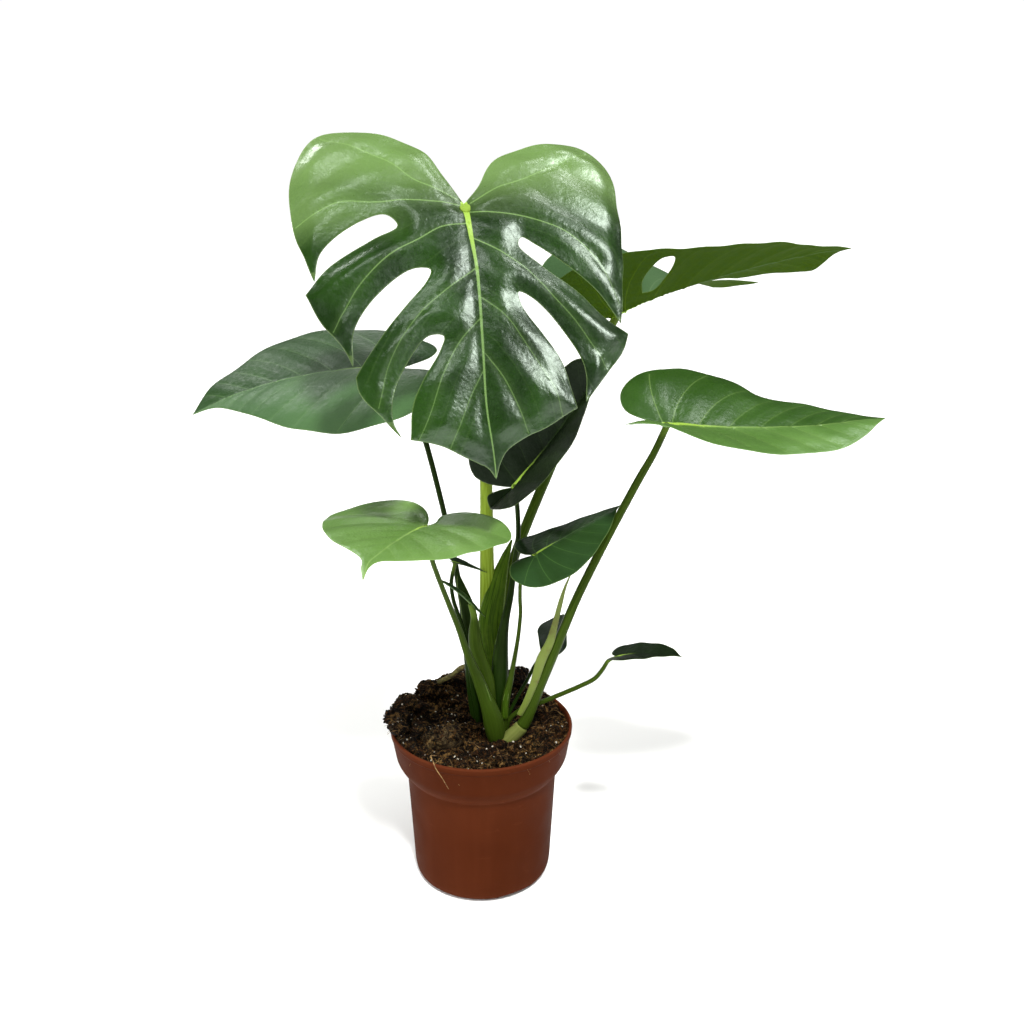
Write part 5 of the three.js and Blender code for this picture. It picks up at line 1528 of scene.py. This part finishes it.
class MONSTERA_OT_soil_bits(bpy.types.Operator):
    """Strew crumbs, perlite and fibres over the soil"""
    bl_idname = "monstera.soil_bits"
    bl_label = "Crumbs, Perlite and Fibres"

    def execute(self, context):
        settings = context.scene.monstera_soil
        soil = context.scene.objects.get("potting_soil")
        if soil is None:
            raise RuntimeError("the soil is made before its crumbs")
        crumb = soil_finish("loose_crumbs", tuple(settings.dark), paint("573a20"), 0.0, 0.8)
        white = grain_finish("perlite_grain", paint("a09886"), paint("e0dacb"), 0.0008, 900)
        straw = grain_finish("peat_fibre", paint("5c4428"), paint("9a7c4e"), 0.0004, 500)

        def inputs(density, size, seed):
            return {"Density": float(density), "Size": size * MM, "Seed": int(settings.seed + seed)}

        for name, grain in GRAINS.items():
            count = getattr(settings, grain["count"])
            made = Strewing(f"Strew {name}", inputs(count, grain["radius"], grain["seed"]),
                            white if name == "perlite" else crumb)
            shapes = []
            for k in range(grain["shapes"]):
                ball = made.add("GeometryNodeMeshIcoSphere",
                                {"Radius": made.given("Size"), "Subdivisions": grain["splits"]})
                ragged = made.ragged(ball.outputs[0], grain["push"] * MM, grain["noise"],
                                     grain["first"] + k)
                shapes.append(ragged.outputs[0])
            made.strew(shapes, *grain["sizes"], math.pi)
            belong(made.run(name, soil), "soil")

        made = Strewing("Strew soil_fibres", inputs(settings.fibres, 0.13, 40), straw)
        strands = []
        for k in range(4):
            line = made.add("GeometryNodeCurvePrimitiveBezierSegment",
                            {"Resolution": 10, "Start": (-0.0045, 0, 0.0002),
                             "Start Handle": (-0.002, 0.003 - 0.001 * k, 0.0022),
                             "End Handle": (0.002, -0.0025 + 0.0014 * k, 0.0022),
                             "End": (0.005, 0.001 * k, -0.0004)})
            bent = made.ragged(line.outputs[0], 0.0016, 260, 11.0 + k)
            round_ = made.add("GeometryNodeCurvePrimitiveCircle",
                              {"Resolution": 5, "Radius": made.given("Size")})
            strand = made.add("GeometryNodeCurveToMesh",
                              {"Curve": bent.outputs[0], "Profile Curve": round_.outputs[0],
                               "Fill Caps": True})
            strands.append(strand.outputs[0])
        made.strew(strands, 0.25, 1.3, 0.35)
        belong(made.run("soil_fibres", soil), "soil")

        shell = Shell()
        shell.add_tube(RIM_FIBRE, 0.5, 8)
        belong(shell.piece("rim_fibre", [straw]), "soil")
        return {"FINISHED"}


class MONSTERA_OT_leaves(bpy.types.Operator):
    """Make every blade with its midrib, side veins and rounded rim"""
    bl_idname = "monstera.leaves"
    bl_label = "Leaves"

    def execute(self, context):
        settings = context.scene.monstera_leaf
        for name, leaf in LEAVES.items():
            shell = blade_shell(name, leaf, settings)
            piece = shell.piece(f"{name}_fine", [leaf_finish(name, settings)])
            belong(piece, leaf["slot"], f"{name}_blade")
        return {"FINISHED"}


class MONSTERA_OT_stalks(bpy.types.Operator):
    """Make the stalks with their sheaths and pale sheath margins"""
    bl_idname = "monstera.stalks"
    bl_label = "Stalks and Sheaths"

    def execute(self, context):
        settings = context.scene.monstera_stalk
        step = settings.mesh_step / MM
        green, dark, sheath = tuple(settings.green), tuple(settings.dark), tuple(settings.sheath)
        skins = {
            "stalk": stalk_finish("petiole_green", green, paint("34470f"), paint("2c3c0c")),
            # Painted light: the main stalk stands in the light and gets its own, lighter copy of
            # the stalk finish.
            "main": stalk_finish("petiole_lit", paint("627519"), paint("7a902f"), paint("748828")),
            # Painted shade: the stalks in the shade get a darker copy of the stalk finish.
            "dark_stalk": stalk_finish("petiole_shaded", dark, paint("162706"), paint("1a2e08")),
        }
        cover = sheath_finish("sheath_green", sheath, paint("405a10"), paint("566c24"))
        # Painted shade: a darker copy of the sheath finish for the sheaths of the stalks in the
        # shade.
        cover_shaded = sheath_finish("sheath_shaded", paint("0f1c04"), paint("182a08"), paint("283c12"))
        trim = grain_finish("sheath_margin", paint("3e521a"), paint("5a6e30"), 0.0003, 700, 0.55)
        for name, stalk in STALKS.items():
            shell = Shell()
            points, faces, skin = tube(stalk_rows(name), step, 28, (0.2, 0.1))
            points = seat_on_blade(points, LEAVES[name], 26)
            gap = np.linalg.norm(points - np.array(LEAVES[name]["at"], float), axis=1)
            tip = smoothstep(gap, 13, 5) * (0.9 if name == "main_leaf" else 0.3)
            shell.add(points, faces, 0, skin=skin, tip=tip)
            if "sheath" in stalk:
                shell.add_tube(stalk["sheath"], step, 32, (0.2, 0.6), 0.12, slot=1)
                for side in (-1, 1):
                    rows = margin_rows(stalk["sheath"], side, settings.margin / MM)
                    shell.add_tube(rows, step, 8, slot=2)
            slot = stalk["slot"]
            finishes = [skins["main" if name == "main_leaf" else slot],
                        cover if slot == "stalk" else cover_shaded, trim]
            belong(shell.piece(f"{name}_petiole", finishes), slot, f"{name}_stalk")
        return {"FINISHED"}


class MONSTERA_OT_crown(bpy.types.Operator):
    """Make the crown, its pale knuckle, the dry sheath and the aerial root"""
    bl_idname = "monstera.crown"
    bl_label = "Crown, Dry Sheath and Root"

    def execute(self, context):
        settings = context.scene.monstera_stalk
        flesh = stalk_finish("crown_flesh", paint("505d28"), paint("6e753e"), paint("636934"), 0.46)
        shell = Shell()
        for rows in (CROWN, KNUCKLE):
            shell.add_tube(rows, 1.2, 40, (0.2, 0.35))
        belong(shell.piece("crown_stem", [flesh]), "crown", "crown")

        husk = husk_finish("dry_husk", tuple(settings.pale), paint("5f6f26"), paint("54451e"))
        shell = Shell()
        shell.add_tube(DRY_SHEATH, 1.2, 28, (0.3, 0.8))
        belong(shell.piece("dry_sheath_husk", [husk]), "pale_sheath", "dry_sheath")

        bark = grain_finish("root_bark", paint("40391e"), paint("6c6636"), 0.0006, 380, 0.7)
        shell = Shell()
        points, faces, skin = tube(AERIAL_ROOT, 0.8, 24, (0.4, 0.2))
        points = points + 0.25 * uneven(points, 3.0, 5.0)[:, None]
        shell.add(points, faces, skin=skin)
        belong(shell.piece("aerial_root_fine", [bark]), "root", "aerial_root")
        return {"FINISHED"}


# Softboxes: place in metres, width and height, power in watts, whether they light what
# they face, and whether gloss shows them.
SOFTBOXES = (
    ("right_box", (1.36, -0.57, 1.58), 0.7, 0.8, 36, False, True),
    ("top_box", (-0.16, -0.92, 2.18), 0.5, 0.3, 5, True, True),
    ("left_fill", (-1.6, -1.1, 0.9), 0.9, 0.9, 16, True, False),
    ("right_rim_box", (0.86, 0.29, 2.24), 0.35, 0.35, 6, True, True),
    ("left_rim_box", (-1.05, 1.07, 1.88), 0.5, 0.5, 10, True, True),
    ("low_rim_box", (-0.28, 1.8, 1.30), 0.25, 0.25, 2, True, True),
)
# Distant lights: where they shine from, strength and spread in degrees.
SUNS = (
    ("front_light", (0.32, -1.51, 2.57), 3.7, 7),
    ("ceiling_light", (0, 0, 3), 1.3, 120),
)
# The softboxes face this place among the leaves.
AMONG_LEAVES = (0, 0, 0.42)
# How steeply one looks up, as a sine, where the room starts to dim and where it has dimmed.
HORIZON, OVERHEAD = 0.22, 0.7
FLOOR_RADIUS = 30
# The camera: place in metres, how far it looks down in degrees, lens and sensor.
CAMERA = {"place": (0.0253, -0.739, 0.544), "down": 17.2, "lens": 35.156, "sensor": 36.0}


def light_up(kind, name, place, way, power):
    """A light at place that shines along way."""
    lamp = bpy.data.lights.new(name, kind)
    lamp.energy = power
    light = bpy.data.objects.new(name, lamp)
    light.location = place
    light.rotation_euler = way.to_track_quat("-Z", "Y").to_euler()
    bpy.context.scene.collection.objects.link(light)
    return light, lamp


class MONSTERA_OT_stage(bpy.types.Operator):
    """Make the pale floor, the softboxes and the camera"""
    bl_idname = "monstera.stage"
    bl_label = "Studio Stage"

    def execute(self, context):
        settings = context.scene.monstera_stage
        scene = context.scene
        made = bmesh.new()
        bmesh.ops.create_circle(made, cap_ends=True, radius=FLOOR_RADIUS, segments=96)
        mesh = bpy.data.meshes.new("studio_floor")
        made.to_mesh(mesh)
        made.free()
        floor = bpy.data.objects.new("studio_floor", mesh)
        scene.collection.objects.link(floor)
        paper = Finish("studio_paper", Roughness=0.9, Specular_IOR_Level=0.1)
        tone = tuple(settings.floor)
        paper.give(Base_Color=paper.blend(paper.grain(3, 2), tone, tuple(0.985 * c for c in tone)))
        mesh.materials.append(paper.material)

        for name, place, wide, high, power, lit, mirrored in SOFTBOXES:
            way = Vector(AMONG_LEAVES) - Vector(place)
            box, lamp = light_up("AREA", name, place, way, power * settings.light)
            lamp.shape, lamp.size, lamp.size_y = "RECTANGLE", wide, high
            box.visible_diffuse, box.visible_glossy = lit, mirrored
        for name, place, power, spread in SUNS:
            sun, lamp = light_up("SUN", name, place, -Vector(place), power * settings.light)
            lamp.angle = math.radians(spread)
            sun.visible_glossy = False

        world = bpy.data.worlds.new("studio_air")
        world.use_nodes = True
        nodes, links = world.node_tree.nodes, world.node_tree.links
        sky = nodes["Background"]
        sky.inputs["Color"].default_value = (1.0, 1.0, 1.0, 1.0)
        height = nodes.new("ShaderNodeSeparateXYZ")
        fall = nodes.new("ShaderNodeMapRange")
        ends = (HORIZON, OVERHEAD, settings.backdrop, settings.ceiling)
        for socket, value in enumerate(ends, 1):
            fall.inputs[socket].default_value = value
        links.new(nodes.new("ShaderNodeTexCoord").outputs["Generated"], height.inputs[0])
        links.new(height.outputs[2], fall.inputs[0])
        dim = nodes.new("ShaderNodeMapRange")
        for socket, value in ((3, 1.0), (4, settings.mirrored)):
            dim.inputs[socket].default_value = value
        links.new(nodes.new("ShaderNodeLightPath").outputs["Is Glossy Ray"], dim.inputs[0])
        both = nodes.new("ShaderNodeMath")
        both.operation = "MULTIPLY"
        links.new(fall.outputs[0], both.inputs[0])
        links.new(dim.outputs[0], both.inputs[1])
        links.new(both.outputs[0], sky.inputs["Strength"])
        scene.world = world
        scene.view_settings.view_transform = "Standard"

        lens = bpy.data.cameras.new("photo_camera")
        lens.lens, lens.sensor_width = CAMERA["lens"], CAMERA["sensor"]
        lens.sensor_fit = "HORIZONTAL"
        lens.clip_start, lens.clip_end = 0.02, 60
        camera = bpy.data.objects.new("photo_camera", lens)
        camera.location = CAMERA["place"]
        camera.rotation_euler = Euler((math.radians(90 - CAMERA["down"]), 0, 0))
        scene.collection.objects.link(camera)
        scene.camera = camera
        return {"FINISHED"}


class MONSTERA_PT_panel(bpy.types.Panel):
    """The steps in the sidebar, each with its settings"""
    bl_idname = "MONSTERA_PT_panel"
    bl_label = "Potted Monstera"
    bl_space_type = "VIEW_3D"
    bl_region_type = "UI"
    bl_category = "Monstera"

    def draw(self, context):
        for operator, group in STEPS:
            box = self.layout.box()
            box.operator(operator.bl_idname)
            if group:
                values = getattr(context.scene, group)
                for name in values.bl_rna.properties.keys():
                    if name not in {"rna_type", "name"}:
                        box.prop(values, name)


STEPS = (
    (MONSTERA_OT_stage, "monstera_stage"), (MONSTERA_OT_pot, "monstera_pot"),
    (MONSTERA_OT_soil, "monstera_soil"), (MONSTERA_OT_soil_bits, None),
    (MONSTERA_OT_leaves, "monstera_leaf"), (MONSTERA_OT_stalks, "monstera_stalk"),
    (MONSTERA_OT_crown, None),
)
SETTINGS = {
    "monstera_leaf": MonsteraLeafSettings, "monstera_stalk": MonsteraStalkSettings,
    "monstera_soil": MonsteraSoilSettings, "monstera_pot": MonsteraPotSettings,
    "monstera_stage": MonsteraStageSettings,
}


def register():
    for group in SETTINGS.values():
        bpy.utils.register_class(group)
    for name, group in SETTINGS.items():
        setattr(bpy.types.Scene, name, PointerProperty(type=group))
    for operator, _ in STEPS:
        bpy.utils.register_class(operator)
    bpy.utils.register_class(MONSTERA_PT_panel)


def unregister():
    bpy.utils.unregister_class(MONSTERA_PT_panel)
    for operator, _ in reversed(STEPS):
        bpy.utils.unregister_class(operator)
    for name, group in SETTINGS.items():
        delattr(bpy.types.Scene, name)
        bpy.utils.unregister_class(group)


def main():
    register()
    for operator, _ in STEPS:
        family, name = operator.bl_idname.split(".")
        getattr(getattr(bpy.ops, family), name)()


if __name__ == "__main__":
    main()
